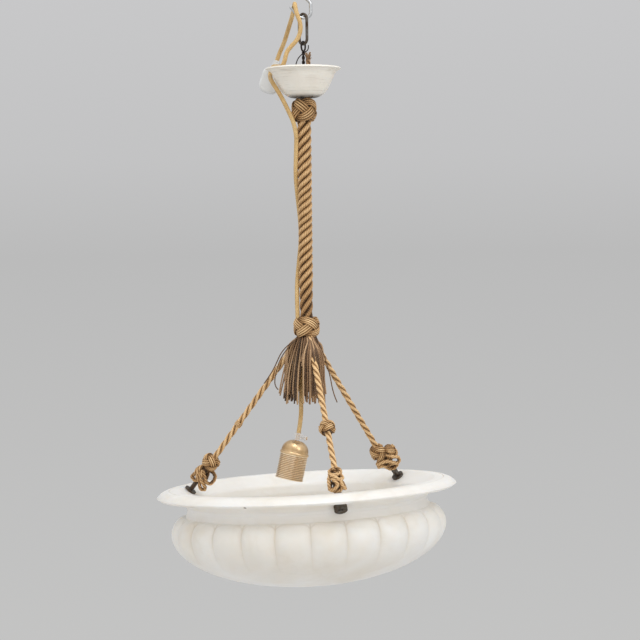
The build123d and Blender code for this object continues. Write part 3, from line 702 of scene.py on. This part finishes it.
def turks_head(centre, way, girth, height, flat, passes, yarn, turn=0.0, hand=1, tone=1.0, core=0.05):
    """A plait of parallel yarns round a barrel whose ends are flat, with a dark core of painted shade."""
    side, other = across(way)
    way = way.normalized()
    radius = yarn / 2
    lift = yarn * PLAIT_LIFT
    spacing = yarn * PLAIT_SPACING
    middle_pass = (passes - 1) / 2
    half = height / 2 - radius
    rise = half - spacing * middle_pass
    swell = 0.8 * (girth / height) ** 2

    def reach(z):
        share = min(abs(z) / (height / 2), 1.0)
        return flat / 2 + (girth - flat) / 2 * sqrt(max(1 - share**BARREL_POWER, 0.0)) - radius - lift

    def on_barrel(angle, z):
        return Vector((reach(z) * cos(angle), reach(z) * sin(angle), z))

    def on_plait(angle):
        return on_barrel(angle, rise * cos(angle * PLAIT_BIGHTS / PLAIT_LEADS))

    runs = []
    for number in range(passes):
        offset = (number - middle_pass) * spacing
        edge = 1 - 0.3 * (abs(number - middle_pass) / max(middle_pass, 1)) ** 2
        points = []
        shades = []
        for step in range(PLAIT_STEPS):
            angle = tau * PLAIT_LEADS * step / PLAIT_STEPS
            here = on_plait(angle)
            path = (on_plait(angle + PLAIT_NUDGE) - here).normalized()
            out = Vector((here.x, here.y, here.z * swell)).normalized()
            moved = here + out.cross(path).normalized() * offset
            spot = on_barrel(atan2(moved.y, moved.x), min(max(moved.z, -half), half))
            # Painted shade: a yarn is lighter where it rises over and darker where it dives under, the
            # outer passes and its sides turned from the centre are darker, and tone darkens the whole knot
            over = hand * sin(2 * angle * PLAIT_BIGHTS / PLAIT_LEADS)
            spot += Vector((spot.x, spot.y, 0)).normalized() * lift * over
            points.append(centre + side * (spot.x * hand) + other * spot.y + way * spot.z)
            shades.append(((0.72 + 0.3 * over) * edge + 0.1) * tone)
        outward = from_centre(centre)
        runs.append(Strand(points, radius * PLAIT_THINNING, shades, closed=True, outward=outward, fall=1.9))
    # The core: a dark strand of painted shade inside the knot
    heights = [half * (n / CORE_STEPS * 2 - 1) for n in range(CORE_STEPS + 1)]
    core_radii = [max(reach(z) - lift * 0.4, radius) for z in heights]
    runs.append(Strand([centre + way * z for z in heights], core_radii, core))
    if turn:
        spin = Matrix.Rotation(turn, 4, way)
        for run in runs:
            run.points = [centre + spin @ (p - centre) for p in run.points]
    return runs


# Flex: four runs of one cord, on the routes of the solids
FLEX = 6.1 * MM
FLEX_STEP = 1.2 * MM
FLEX_SIDES = 16


def flex_route(name, *route):
    return spaced(smooth_line(name, *route), FLEX_STEP)


loop_line = flex_route(
    "loop_route",
    (-41.44, 58, -110.88),
    (-34.64, 58, -89.96),
    (-27.5, 47, -77),
    (-19.5, 29.5, -54),
    (-13.5, 13.5, -37),
    (-11.6, 6.6, -26),
    (-11.2, -6.6, -26),
    (-9, -9, -40),
    (-4, -10.5, -52),
    (-3, -10.5, -64),
    (-8, -9.5, -77),
    (-17.5, -9, -86.5),
    (-23.5, -9, -94),
    (-25, -9.3, -101),
)
rim_line = flex_route(
    "rim_route",
    (-25, -9.3, -101),
    (-27.5, -9.8, -112.67),
    (-34, 6, -112.7),
    (-38.5, 23, -110.8),
    (-43.5, 35, -109.4),
    (-47.5, 37, -120.5),
    (-47, 27, -125),
    (-46.5, 11, -129),
    (-43.5, -7, -136),
    (-33, -12.5, -153),
    (-22.5, -10, -174),
    (-12.4, -9, -197),
    (-11.1, -6.8, -214),
)
column_line = flex_route(
    "column_route",
    (-11.1, -6.8, -214),
    (-11.9, -5.3, -236.1),
    (-13, 0.5, -266),
    (-10.4, 7.9, -296),
    (-7.1, 11, -326),
    (-6.2, 11.6, -356),
    (-9.6, 9, -386),
    (-12.5, 4, -414),
    (-13, -1.5, -440),
    (-12.2, -1.5, -467),
)
drop_line = flex_route(
    "drop_route",
    (-2, 0, -492.6),
    (-2, 0, -504),
    (-5.2, 0.5, -522),
    (-8.3, 0.7, -546),
    (-8.9, -0.2, -574),
    (-8.96, 0, -607.96),
    (-15.19, 0, -636.28),
)


def flex_run(name, line, node):
    """One run of the flex."""
    run = strand_mesh(name, [Strand(line, FLEX / 2)], FLEX_SIDES, flex_cover)
    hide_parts(node)
    lengths_along(line)[-1]
    return run


hook_run = flex_run("flex_over_hook", loop_line, "flex_loop")
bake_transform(hook_run)
rim_run = flex_run("flex_over_rim", rim_line, "flex_rim")
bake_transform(rim_run)
column_run = flex_run("flex_on_column", column_line, "flex_column")
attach(column_run, "pendant")
drop_run = flex_run("flex_to_holder", drop_line, "flex_drop")
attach(drop_run, "lampholder")

# The flex's last stretch, seen through the clear cord grip
GRIPPED_LENGTH = 9 * MM
GRIP_CLEARANCE = 0.2 * MM
holder_up = Vector((sin(HOLDER_LEAN), 0, cos(HOLDER_LEAN)))
gripped_line = spaced([drop_line[-1], drop_line[-1] - holder_up * GRIPPED_LENGTH], FLEX_STEP)
gripped_strand = Strand(gripped_line, FLEX / 2 - GRIP_CLEARANCE)
gripped = strand_mesh("flex_in_grip", [gripped_strand], FLEX_SIDES, flex_cover)
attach(gripped, "lampholder")

# The three ropes' ends, as in the solids, in degrees and millimetres
ROPE_AZIMUTHS = {"front": 15, "right": 128, "left": -105}
ROPE_TOP_REACH = 11
ROPE_TOP_HEIGHT = -492
KNOT_REACHES = {"front": 154, "right": 148.5, "left": 146.7}
KNOT_RISES = {"front": 14.5, "right": 22, "left": 24.4}
KNOT_LENGTHS = {"front": 36, "right": 42, "left": 45}
bowl_side = Vector((cos(BOWL_LEAN), 0, sin(BOWL_LEAN)))
bowl_up = Vector((-sin(BOWL_LEAN), 0, cos(BOWL_LEAN)))
rope_tops = {}
rope_feet = {}
rope_ways = {}
knot_centres = {}
for name, azimuth in ROPE_AZIMUTHS.items():
    turn = radians(azimuth)
    top = Vector((ROPE_TOP_REACH * sin(turn), -ROPE_TOP_REACH * cos(turn), ROPE_TOP_HEIGHT))
    rope_tops[name] = top * MM
    out = bowl_side * sin(turn) + FORWARD * cos(turn)
    knot_centres[name] = BOWL_CREST + (out * KNOT_REACHES[name] + bowl_up * KNOT_RISES[name]) * MM
    rope_ways[name] = (rope_tops[name] - knot_centres[name]).normalized()
    rope_feet[name] = knot_centres[name] + rope_ways[name] * KNOT_LENGTHS[name] / 2 * MM

# The ropes' thickness and lay, and in millimetres how far they go into the lower knot, and how far aside
# their tops and feet show
ROPE_STEP = 1.0 * MM
ROPE_TUCK = 3
ROPE_LAYS = {"front": 38 * MM, "right": 45 * MM, "left": 49 * MM}
ROPE_ASIDE = {"front": (1.5, 2), "right": (-2, -5.5), "left": (1, 1.5)}


def rope(name):
    """A three-strand rope, taut between the lower knot and its end knot."""
    top_aside, foot_aside = ROPE_ASIDE[name]
    top = rope_tops[name] + (rope_ways[name] * ROPE_TUCK + Vector((top_aside, 0, 0))) * MM
    foot = knot_centres[name] + Vector((foot_aside, 0, 0)) * MM
    route = [place / MM for place in (top, top.lerp(foot, 0.5), foot)]
    line = spaced(smooth_line("rope_route_" + name, *route), ROPE_STEP)
    # Painted shade: the strands darken on their sides turned in towards the rope's axis
    strands = laid(
        line,
        count=3,
        ring=1.95 * MM,
        radius=2.35 * MM,
        pitch=ROPE_LAYS[name],
        hand=S_LAID,
        shade=0.94,
        outward=from_axis(foot, (top - foot).normalized()),
        fall=0.8,
    )
    piece = strand_mesh("laid_rope_" + name, strands, sides=12, finish=golden_rope)
    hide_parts("rope_" + name)
    lengths_along(line)[-1]
    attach(piece, "pendant")


for name in ROPE_AZIMUTHS:
    rope(name)


def on_pendant(piece, node):
    """A soft piece that stands for a node and swings with the lamp."""
    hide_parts(node)
    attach(piece, "pendant")


# Rope column: four strands laid up together, each of six yarns twisted the other way
COLUMN_TOP = -189 * MM
COLUMN_FOOT = -464 * MM
COLUMN_RING = 6.1 * MM
COLUMN_DRAWN_IN = 1.1 * MM
COLUMN_EVEN = 215 * MM
COLUMN_NARROWING = 60 * MM
CLOSEST_LAY = 40 * MM
LAY_OPENS_ABOVE = 16 * MM
LAY_OPENS_BELOW = 28 * MM
MEMBER_STEP = 1.1 * MM
YARN_RING = 2.6 * MM
YARN_RADIUS = 1.4 * MM
YARN_LAY = 17.5 * MM
STRAND_CORE = 2.3 * MM
COLUMN_CORE = 3.0 * MM
DARK_REACH = 6.2 * MM
LIGHT_REACH = 8.95 * MM
column_axis = [Vector((0, 0, COLUMN_TOP)), Vector((0, 0, COLUMN_FOOT))]


def column_ring(length):
    """The strands draw together towards the lower knot."""
    share = max(length - COLUMN_EVEN, 0) / COLUMN_NARROWING
    return COLUMN_RING - COLUMN_DRAWN_IN * min(share, 1)


def column_lay(length):
    """The lay is closest in the middle and opens towards both knots."""
    share = length / (COLUMN_TOP - COLUMN_FOOT)
    opening = LAY_OPENS_BELOW if share > 0.5 else LAY_OPENS_ABOVE
    return CLOSEST_LAY + opening * (2 * abs(share - 0.5)) ** 1.5


column_out = from_axis(column_axis[0], UP)
column_strands = []
members = laid(
    spaced(column_axis, ROPE_STEP),
    count=4,
    ring=column_ring,
    radius=STRAND_CORE,
    pitch=column_lay,
    hand=Z_LAID,
)
for member in members:
    member_line = spaced(member.points, MEMBER_STEP)
    column_strands += laid(
        member_line,
        count=6,
        ring=YARN_RING,
        radius=YARN_RADIUS,
        pitch=YARN_LAY,
        hand=S_LAID,
        outward=column_out,
    )
    column_strands.append(Strand(member_line, STRAND_CORE))
# Painted shade: each yarn and strand core is darker the nearer it lies to the column's axis
for strand in column_strands:
    reaches = [off_axis(point, column_axis[0], UP).length for point in strand.points]
    shares = [(reach - DARK_REACH) / (LIGHT_REACH - DARK_REACH) for reach in reaches]
    strand.shades = [min(max(share, 0), 1) for share in shares]
# A black core along the axis: painted shade between the strands
column_strands.append(Strand(spaced(column_axis, 20 * MM), COLUMN_CORE, shade=0.0))
column = strand_mesh("laid_column", column_strands, sides=8, finish=golden_rope)
on_pendant(column, "rope_column")


def plaited_knot(name, node, strands):
    on_pendant(strand_mesh(name, strands, sides=10, finish=knot_yarn), node)


def on_rope(name, share, aside):
    """A place at a share of a rope's length, moved aside in millimetres to where the rope shows."""
    return rope_tops[name].lerp(rope_feet[name], share) + Vector((aside, 0, 0)) * MM


# The upper knot's lower tone is painted shade: it hangs under the canopy
upper = turks_head(
    Vector((0, 0, -174.25)) * MM,
    UP,
    girth=37.5 * MM,
    height=35 * MM,
    flat=17 * MM,
    passes=4,
    yarn=3.3 * MM,
    turn=0.5,
    tone=0.82,
)
plaited_knot("upper_turks_head", "upper_knot", upper)
lower = turks_head(
    Vector((0, 0, -477)) * MM,
    UP,
    girth=38.5 * MM,
    height=31 * MM,
    flat=22 * MM,
    passes=4,
    yarn=3.0 * MM,
    turn=1.35,
    hand=-1,
)
plaited_knot("lower_turks_head", "lower_knot", lower)
slider = turks_head(
    on_rope("front", share=0.695, aside=1.8),
    rope_ways["front"],
    girth=24.5 * MM,
    height=18.5 * MM,
    flat=12 * MM,
    passes=3,
    yarn=2.5 * MM,
    turn=0.3,
)
plaited_knot("small_turks_head", "small_knot", slider)

# Whipping on the left rope: close turns of thin yarn, fuller in the middle
WHIPPING_TURNS = 4
WHIPPING_STEPS = 199
WHIPPING_WIDTH = 8.2 * MM
WHIPPING_REACH = 4.1 * MM
WHIPPING_SWELL = 0.5 * MM
WHIPPING_YARN = 0.9 * MM
middle = on_rope("left", share=0.725, aside=1.3)
side, other = across(rope_ways["left"])
turns = []
for step in range(WHIPPING_STEPS + 1):
    share = step / WHIPPING_STEPS
    angle = tau * WHIPPING_TURNS * share
    reach = WHIPPING_REACH + WHIPPING_SWELL * sin(pi * share)
    along = rope_ways["left"] * (share - 0.5) * WHIPPING_WIDTH
    turns.append(middle + along + (side * cos(angle) + other * sin(angle)) * reach)
plaited_knot("rope_whipping_turns", "rope_whipping", [Strand(turns, WHIPPING_YARN, shade=0.75)])

# End knots: a ball's flat end and its yarn as a share of its girth, and a dark core of painted shade, in
# millimetres
BALL_FLAT = 11
BALL_YARN = 0.104
KNOT_CORE_RADIUS = 4.8
KNOT_CORE_TOP = 15
KNOT_CORE_STEP = 3.2
KNOT_CORE_STEPS = 10


def end_knot(name, balls, loops):
    """Knot at a rope's foot: plaited balls, and slack loops that hold the bowl hook.

    A ball has a girth, a height, its places to the right and up the rope, and its turn. A loop's points
    are places to the right, forwards and up the rope. Lengths are in millimetres.
    """
    centre = knot_centres[name]
    up = rope_ways[name]
    front = (FORWARD - up * FORWARD.dot(up)).normalized()
    right = up.cross(front)
    strands = []
    for girth, height, aside, rise, turn in balls:
        strands += turks_head(
            centre + (right * aside + up * rise) * MM,
            up,
            girth=girth * MM,
            height=height * MM,
            flat=BALL_FLAT * MM,
            passes=3,
            yarn=girth * BALL_YARN * MM,
            turn=turn,
            core=0.28,
        )
    for number, points in enumerate(loops):
        route = [centre / MM + (right * u + front * v + up * w) for u, v, w in points]
        line = spaced(smooth_line(f"slack_{name}_{number}", *route), 0.8 * MM)
        # Painted shade: the loops darken on their sides turned in towards the knot's centre
        strands += laid(
            line,
            count=3,
            ring=1.25 * MM,
            radius=1.55 * MM,
            pitch=17 * MM,
            hand=S_LAID,
            shade=0.9,
            outward=from_centre(centre),
        )
    # A near-black core: painted shade in the middle of the knot
    core = [centre + up * (KNOT_CORE_TOP - KNOT_CORE_STEP * n) * MM for n in range(KNOT_CORE_STEPS + 1)]
    strands.append(Strand(core, KNOT_CORE_RADIUS * MM, shade=0.05))
    plaited_knot("end_knot_loops_" + name, "end_knot_" + name, strands)


end_knot(
    "left",
    [(26.5, 22, 0.5, 12.5, 1.2)],
    [
        [(-1.8, 4, -3), (6, 8, -9), (12, 9, -13.5), (18, 6, -13), (19.5, 3, -5), (17, 1, 0.5),
         (10, 0, 2.5), (4, 0, 2)],
        [(-6, 2, 0), (-9.4, 3, -4), (-8, 4, -13), (-10.6, 3, -20), (-3, 6, -21.5), (0.3, 8, -17),
         (-3, 8, -11), (-2, 5, -3)],
        [(-1, 8, -5), (0, 10, -12), (7, 10, -16), (15, 8, -20), (16, 6, -24.5), (10.5, 6, -26.5),
         (6, 9, -22), (2, 8, -13), (0, 4, -6)],
        [(-6, 0, 2), (-7.5, 6, -5), (-4, 8, -14), (1, 5, -19), (7.5, 0, -17), (9, -5, -9),
         (4, -3, 0), (0, 0, 2)],
        [(4, -3, 0), (9, -8, -8), (2, -10, -16), (-8, -7, -15), (-10, -4, -5), (-4, -2, 1)],
    ],
)
end_knot(
    "right",
    [(25, 23, -6.5, 14, 2.6), (22, 20, 8.5, 5, 0.6)],
    [
        [(-8, 4, 6), (-19, 5, 0), (-11, 10, 2), (-3, 13, 2), (2.6, 13, -3), (7, 11, -10.5),
         (12.3, 8, -13), (15.5, 5, -7), (11.4, 10, -1), (4.7, 11, 4), (0, 4, 6)],
        [(-4, 3, 2), (-12, 7, -1), (-18.5, 5, -4.6), (-12.3, 9, -3), (-7.8, 10, -5.6), (-7, 8, -12),
         (-2, 4, -12), (0, 0, -6)],
        [(-4, 6, -8), (-7, 8, -12.5), (-0.3, 7, -17.5), (7, 6, -17), (9, 6, -12), (3, 10, -8),
         (-3, 8, -8), (0, 0, -4)],
        [(4, -2, 0), (10, -6, -6), (3, -10, -12), (-6, -8, -12), (-10, -3, -5), (-4, -1, 0)],
    ],
)
end_knot(
    "front",
    [],
    [
        [(0, 0, 18), (4, 4, 17), (9, 5, 12), (8, 6, 5), (1, 9, 3), (-6, 7, 6),
         (-6, 5, 13), (-1, 5, 16), (3, 2, 10), (0, 0, 4)],
        [(0, 0, 8), (-6, 4, 8), (-9, 5, 0), (-9, 6, -8), (-10, 4, -16), (-4, 8, -18),
         (3, 9, -13), (-1, 9, -5), (-6, 5, 2), (0, 0, 3)],
        [(0, 0, 6), (7, 5, 5), (11, 5, -1), (6, 10, -5), (7, 9, -13), (11, 4, -18),
         (10, -1, -12), (9, -3, -3), (0, 0, 2)],
        [(-6, 2, 10), (-5, 9, 3), (2, 11, -2), (8, 8, -10), (6, 3, -18), (-2, 3, -19),
         (-7, 0, -14), (0, 0, -8)],
        [(4, 0, 12), (7, -5, 8), (0, -9, 5), (-8, -5, 0), (-9, -4, -9), (0, -9, -12),
         (9, -5, -9), (9, -3, 0), (0, 0, 5)],
    ],
)

# Tassel: limp yarns that spread over the ropes and then hang
TASSEL_TOP = -490.5 * MM
TASSEL_COUNT = 130
TASSEL_STEPS = 24
TASSEL_YARN = 1.05 * MM
TASSEL_SHADES = (0.12, 0.3, 0.55, 0.8, 1.0)
FLEX_ROOM = FLEX / 2 + 1.6 * MM
PARTED_POINTS = 5
STRAY_YARN = 0.8 * MM
wild = random.Random(21)
yarns = []


def parted(points):
    """Moves a yarn's points aside from the flex and from the room in which it swings."""
    moves = [0.0] * len(points)
    inside = []
    for number, point in enumerate(points):
        flex = min(drop_line, key=lambda spot: abs(spot.z - point.z))
        swing_room = FLEX_ROOM + max(0.0, drop_line[0].z - point.z) * HOLDER_SWING
        if abs(point.x - flex.x) < FLEX_ROOM and abs(point.y - flex.y) < swing_room:
            inside.append((number, point.x - flex.x))
    hand = 1 if sum(aside for _, aside in inside) >= 0 else -1
    for middle, aside in inside:
        for number in range(len(points)):
            share = max(0.0, 1 - abs(number - middle) / PARTED_POINTS)
            moves[number] = max(moves[number], (FLEX_ROOM - hand * aside) * share)
    return [point + Vector((hand * move, 0, 0)) for point, move in zip(points, moves)]


for number in range(TASSEL_COUNT):
    azimuth = tau * number / TASSEL_COUNT + wild.uniform(-0.05, 0.05)
    inner = wild.random()
    out = Vector((sin(azimuth), -cos(azimuth), 0))
    if out.x > 0.3 and wild.random() < 0.4:
        continue
    start = (6 + 7.5 * inner) * MM
    reach = (11 + 23 * inner * wild.uniform(0.8, 1.15)) * MM
    reach *= 1.0 - (0.12 if out.x < 0 else 0.22) * out.x
    drop = (86 + wild.uniform(-10, 8)) * MM
    in_front_of_flex = out.y < 0 and abs(out.x * reach + 5 * MM) < 5 * MM
    if in_front_of_flex:
        drop *= wild.uniform(0.42, 0.6)
    swing = wild.uniform(-0.2, 0.2)
    bend = wild.uniform(0.4, 1.5)
    wave = wild.uniform(0.5, 1.6) * MM
    phase = wild.uniform(0, tau)
    shade = wild.choice(TASSEL_SHADES) + wild.uniform(-0.08, 0.08)
    points = []
    shades = []
    for step in range(TASSEL_STEPS + 1):
        share = step / TASSEL_STEPS
        spread = start + (reach - start) * (1 - exp(-bend * share)) / (1 - exp(-bend))
        angle = azimuth + swing * share * share
        sway = wave * sin(5.2 * share + phase) * share
        outward = Vector((sin(angle), -cos(angle), 0))
        sideways = Vector((cos(angle), sin(angle), 0))
        points.append(outward * spread + sideways * sway + Vector((0, 0, TASSEL_TOP - drop * share)))
        # Painted shade: each yarn is darker near its top, where the yarns crowd under the knot
        shades.append(0.1 + (shade - 0.1) * min(1, 0.35 + 1.3 * share))
    yarns.append(Strand(parted(points), TASSEL_YARN, shades))

# Yarns draped over the ropes: the height in millimetres at which they end, and their thickness and shades
DRAPED_FOOT = -578
DRAPED_YARN = 1.1 * MM
DRAPED_SHADES = (0.2, 0.5, 0.8, 1.0)


def draped(name, count, reach, fullness=1.0):
    """Yarns that lie over a rope's first stretch and then hang on either side of it, in millimetres."""
    way = rope_ways[name]
    over = (UP - way * way.z).normalized()
    side = way.cross(over)
    top = rope_tops[name] / MM + Vector((ROPE_ASIDE[name][0], 0, 0))
    for number in range(count):
        aside = (number / (count - 1) - 0.5) * 2
        leave = reach * wild.uniform(0.75, 1.1) * (1 - 0.35 * abs(aside))
        hang = DRAPED_FOOT + wild.uniform(-7, 9)
        spread = side * aside * wild.uniform(7, 12)
        route = [top + UP * 2 + side * aside * 5]
        for share, lift in ((0.3, 3.6), (0.65, 5.0), (1.0, 4.8)):
            route.append(top - way * leave * share + over * lift * fullness + spread * share)
        last = route[-1]
        route.append(last + Vector((last.x * 0.04, last.y * 0.04, -14)) + spread * 0.15)
        route.append(Vector((last.x * 1.05, last.y * 1.05, (last.z + hang) / 2)) + spread * 0.2)
        route.append(Vector((last.x * 1.04, last.y * 1.04, hang)) + spread * wild.uniform(0.1, 0.4))
        shade = wild.choice(DRAPED_SHADES)
        line = spaced(smooth_line(f"draped_{name}_{number}", *route), 2.5 * MM)
        yarns.append(Strand(parted(line), DRAPED_YARN, shade))


draped("front", count=16, reach=40)
draped("left", count=9, reach=30)
draped("right", count=7, reach=28, fullness=0.5)


def stray(name, shade, *route):
    """A single yarn that stands away from the tassel."""
    yarns.append(Strand(spaced(smooth_line(name, *route), 2 * MM), STRAY_YARN, shade))


stray(
    "stray_on_rope",
    0.3,
    (-12, -6, -492),
    (-24, -8, -500),
    (-36, -6, -512),
    (-44, -3, -530),
    (-51, 0, -543),
    (-60.5, 2, -556),
)
stray(
    "stray_curl",
    0.25,
    (-14, -8, -493),
    (-27, -12, -506),
    (-38, -12, -522),
    (-45, -12, -545),
    (-45.5, -12, -560),
    (-40.5, -12, -564),
)
stray(
    "stray_right",
    0.35,
    (14, -6, -493),
    (24, -9, -515),
    (32, -9, -545),
    (36, -9, -570),
    (41.5, -9, -583),
)
on_pendant(strand_mesh("tassel_yarns", yarns, sides=7, finish=brown_yarn), "tassel")

# Suspension wire: an eye round the link's foot, a twisted pair down into the upper knot, and loose ends
EYE_CENTRE = Vector((0, 0, -85.35)) * MM
EYE_SIDE = Vector((cos(radians(45)), sin(radians(45)), 0))
EYE_HALF_WIDTH = 3.9 * MM
EYE_HALF_HEIGHT = 6.7 * MM
EYE_STEPS = 64
EYE_RADIUS = 1.3 * MM
LEGS_TOP = Vector((0, 0, -91.5)) * MM
LEGS_FOOT = Vector((0, 0, -160)) * MM
LEG_RADIUS = 1.15 * MM
LEG_LAY = 13 * MM
LOOSE_END_RADIUS = 0.75 * MM
eye = []
for step in range(EYE_STEPS):
    angle = tau * step / EYE_STEPS
    eye.append(EYE_CENTRE + EYE_SIDE * cos(angle) * EYE_HALF_WIDTH + UP * sin(angle) * EYE_HALF_HEIGHT)
wires = [Strand(eye, EYE_RADIUS, shade=0.6, closed=True)]
legs = spaced([LEGS_TOP, LEGS_FOOT], 0.8 * MM)
wires += laid(legs, count=2, ring=LEG_RADIUS, radius=LEG_RADIUS, pitch=LEG_LAY, hand=Z_LAID)
tail = smooth_line("wire_tail", (0, -2, -95), (-5, -4, -99), (-9, -4, -105), (-10.5, -4, -110.6))
twist = smooth_line("wire_twist", (1, -2, -94), (5, -3, -92.5), (7.5, -3, -88), (7, -3, -84))
for loose_end in (tail, twist):
    wires.append(Strand(spaced(loose_end, 1 * MM), LOOSE_END_RADIUS))
on_pendant(strand_mesh("twisted_wire", wires, sides=10, finish=dark_wire), "suspension_wire")

# Frayed stub of the column rope, standing in the canopy
STUB_FOOT = Vector((6.5, 0, -158)) * MM
STUB_TOP = Vector((6.5, 0, -104)) * MM
FRAY_START = Vector((6.5, 0, -107)) * MM
FRAY_COUNT = 34
FRAY_STEPS = 8
FRAY_RADIUS = 0.42 * MM
STUB_STRAND = 1.75 * MM
STUB_LAY = 22 * MM
stub_line = spaced([STUB_FOOT, STUB_TOP], 1 * MM)
# Painted shade: the strands darken on their sides turned in towards the stub's axis
fibres = laid(
    stub_line,
    count=3,
    ring=STUB_STRAND,
    radius=STUB_STRAND,
    pitch=STUB_LAY,
    hand=S_LAID,
    shade=0.8,
    outward=from_axis(STUB_FOOT, UP),
)
for number in range(FRAY_COUNT):
    azimuth = wild.uniform(0, tau)
    out = Vector((cos(azimuth), sin(azimuth), 0))
    start = FRAY_START + out * wild.uniform(0.3, 2.9) * MM
    spread = wild.uniform(0.5, 4.0) * MM
    rise = wild.uniform(6, 14) * MM
    shares = [n / FRAY_STEPS for n in range(FRAY_STEPS + 1)]
    points = [start + out * spread * share**1.6 + UP * rise * share for share in shares]
    fibres.append(Strand(points, FRAY_RADIUS, shade=wild.uniform(0.3, 0.9)))
on_pendant(strand_mesh("frayed_stub", fibres, sides=7, finish=brown_yarn), "rope_stub")

# Finishes of the solid pieces
solid_finishes = {
    "ceiling_hook": bright_plate,
    "suspension_link": iron,
    "canopy": canopy_stone,
    "alabaster_bowl": bowl_stone,
    "bowl_hooks": iron,
    "hook_nuts": iron,
    "hook_washers": iron,
    "plug_body": white_moulding,
    "plug_sleeve": white_moulding,
    "plug_pins": aged_brass,
    "cord_grip": clear_moulding,
    "grip_screw": aged_brass,
    "holder_cap": cap_brass,
    "holder_skirt": ribbed_brass,
    "porcelain_insert": porcelain,
    "screw_shell": aged_brass,
    "centre_contact": aged_brass,
    "terminal_screws": aged_brass,
}
for name, finish in solid_finishes.items():
    nodes[name].data.materials.clear()
    nodes[name].data.materials.append(finish)

# Backdrop: one pale sheet, flat in front, bent up behind the lamp and on up as a wall, in metres
FLOOR_HEIGHT = -1.25
SHEET_FRONT = -6.0
SHEET_HALF_WIDTH = 6.0
BEND_START = 1.0
BEND_RADIUS = 0.8
BEND_STEPS = 16
WALL_TOP = 3.5
TONE_FOOT = -1.2
TONE_HEIGHT = 1.4


def backdrop_finish():
    """Shows its own grey to the camera and in gloss, and is clear from behind."""
    finish = Finish("pale_backdrop", {"Roughness": 0.9, "Base Color": (0.65, 0.65, 0.65, 1)})
    _, _, z = finish.axes(finish.place())
    stops = (
        (0.0, (0.552, 0.552, 0.548)),
        (0.6, (0.497, 0.497, 0.497)),
        (0.75, (0.545, 0.545, 0.55)),
        (1.0, (0.575, 0.575, 0.582)),
    )
    tone = finish.ramp(((z - TONE_FOOT) / TONE_HEIGHT).clip(), *stops)
    glow = finish.node("ShaderNodeEmission", {}, {"Color": tone})
    kinds = ("Is Camera Ray", "Is Glossy Ray", "Is Transmission Ray")
    camera_ray, glossy_ray, clear_ray = finish.node("ShaderNodeLightPath", output=kinds)
    seen = (camera_ray + glossy_ray + clear_ray).clip() * z.above(FLOOR_HEIGHT, 20)
    lit = Value(finish, finish.shader.outputs[0])
    front = finish.node("ShaderNodeMixShader", {}, {0: seen, 1: lit, 2: glow})
    behind = finish.node("ShaderNodeNewGeometry", output="Backfacing")
    clear = finish.node("ShaderNodeBsdfTransparent")
    both = finish.node("ShaderNodeMixShader", {}, {0: behind, 1: front, 2: clear})
    finish.tree.links.new(both.socket, finish.tree.nodes["Material Output"].inputs["Surface"])
    return finish.material


profile = [(SHEET_FRONT, FLOOR_HEIGHT)]
for step in range(BEND_STEPS + 1):
    angle = radians(90 * step / BEND_STEPS)
    profile.append((BEND_START + BEND_RADIUS * sin(angle), FLOOR_HEIGHT + BEND_RADIUS * (1 - cos(angle))))
profile.append((BEND_START + BEND_RADIUS, WALL_TOP))
rows = len(profile)
sheet = bpy.data.meshes.new("backdrop")
sheet.from_pydata(
    [(x, y, z) for x in (-SHEET_HALF_WIDTH, SHEET_HALF_WIDTH) for y, z in profile],
    [],
    [(n, rows + n, rows + n + 1, n + 1) for n in range(rows - 1)],
)
sheet.shade_smooth()
sheet.materials.append(backdrop_finish())
backdrop = placed("backdrop", sheet)


def soft_light(name, place, aim, size, power):
    """A square soft box that faces a place."""
    lamp = bpy.data.lights.new(name, "AREA")
    lamp.shape = "SQUARE"
    lamp.size = size
    lamp.energy = power
    holder = placed(name, lamp)
    holder.location = place
    holder.rotation_euler = (Vector(aim) - Vector(place)).to_track_quat("-Z", "Y").to_euler()


soft_light("key", (1.9, -2.5, 1.4), (0, 0, -0.5), size=1.6, power=22)
soft_light("fill", (-2.2, -2.4, 0.6), (0, 0, -0.5), size=1.8, power=3)
soft_light("low", (0.3, -2.6, -1.1), (0, 0, -0.6), size=1.4, power=3)
soft_light("top", (0.2, -0.7, 2.0), (0, 0, -0.7), size=1.6, power=22)
world = bpy.data.worlds.new("studio")
world.use_nodes = True
world.node_tree.nodes["Background"].inputs["Color"].default_value = (1.0, 1.0, 1.0, 1)
world.node_tree.nodes["Background"].inputs["Strength"].default_value = 0.85
bpy.context.scene.world = world
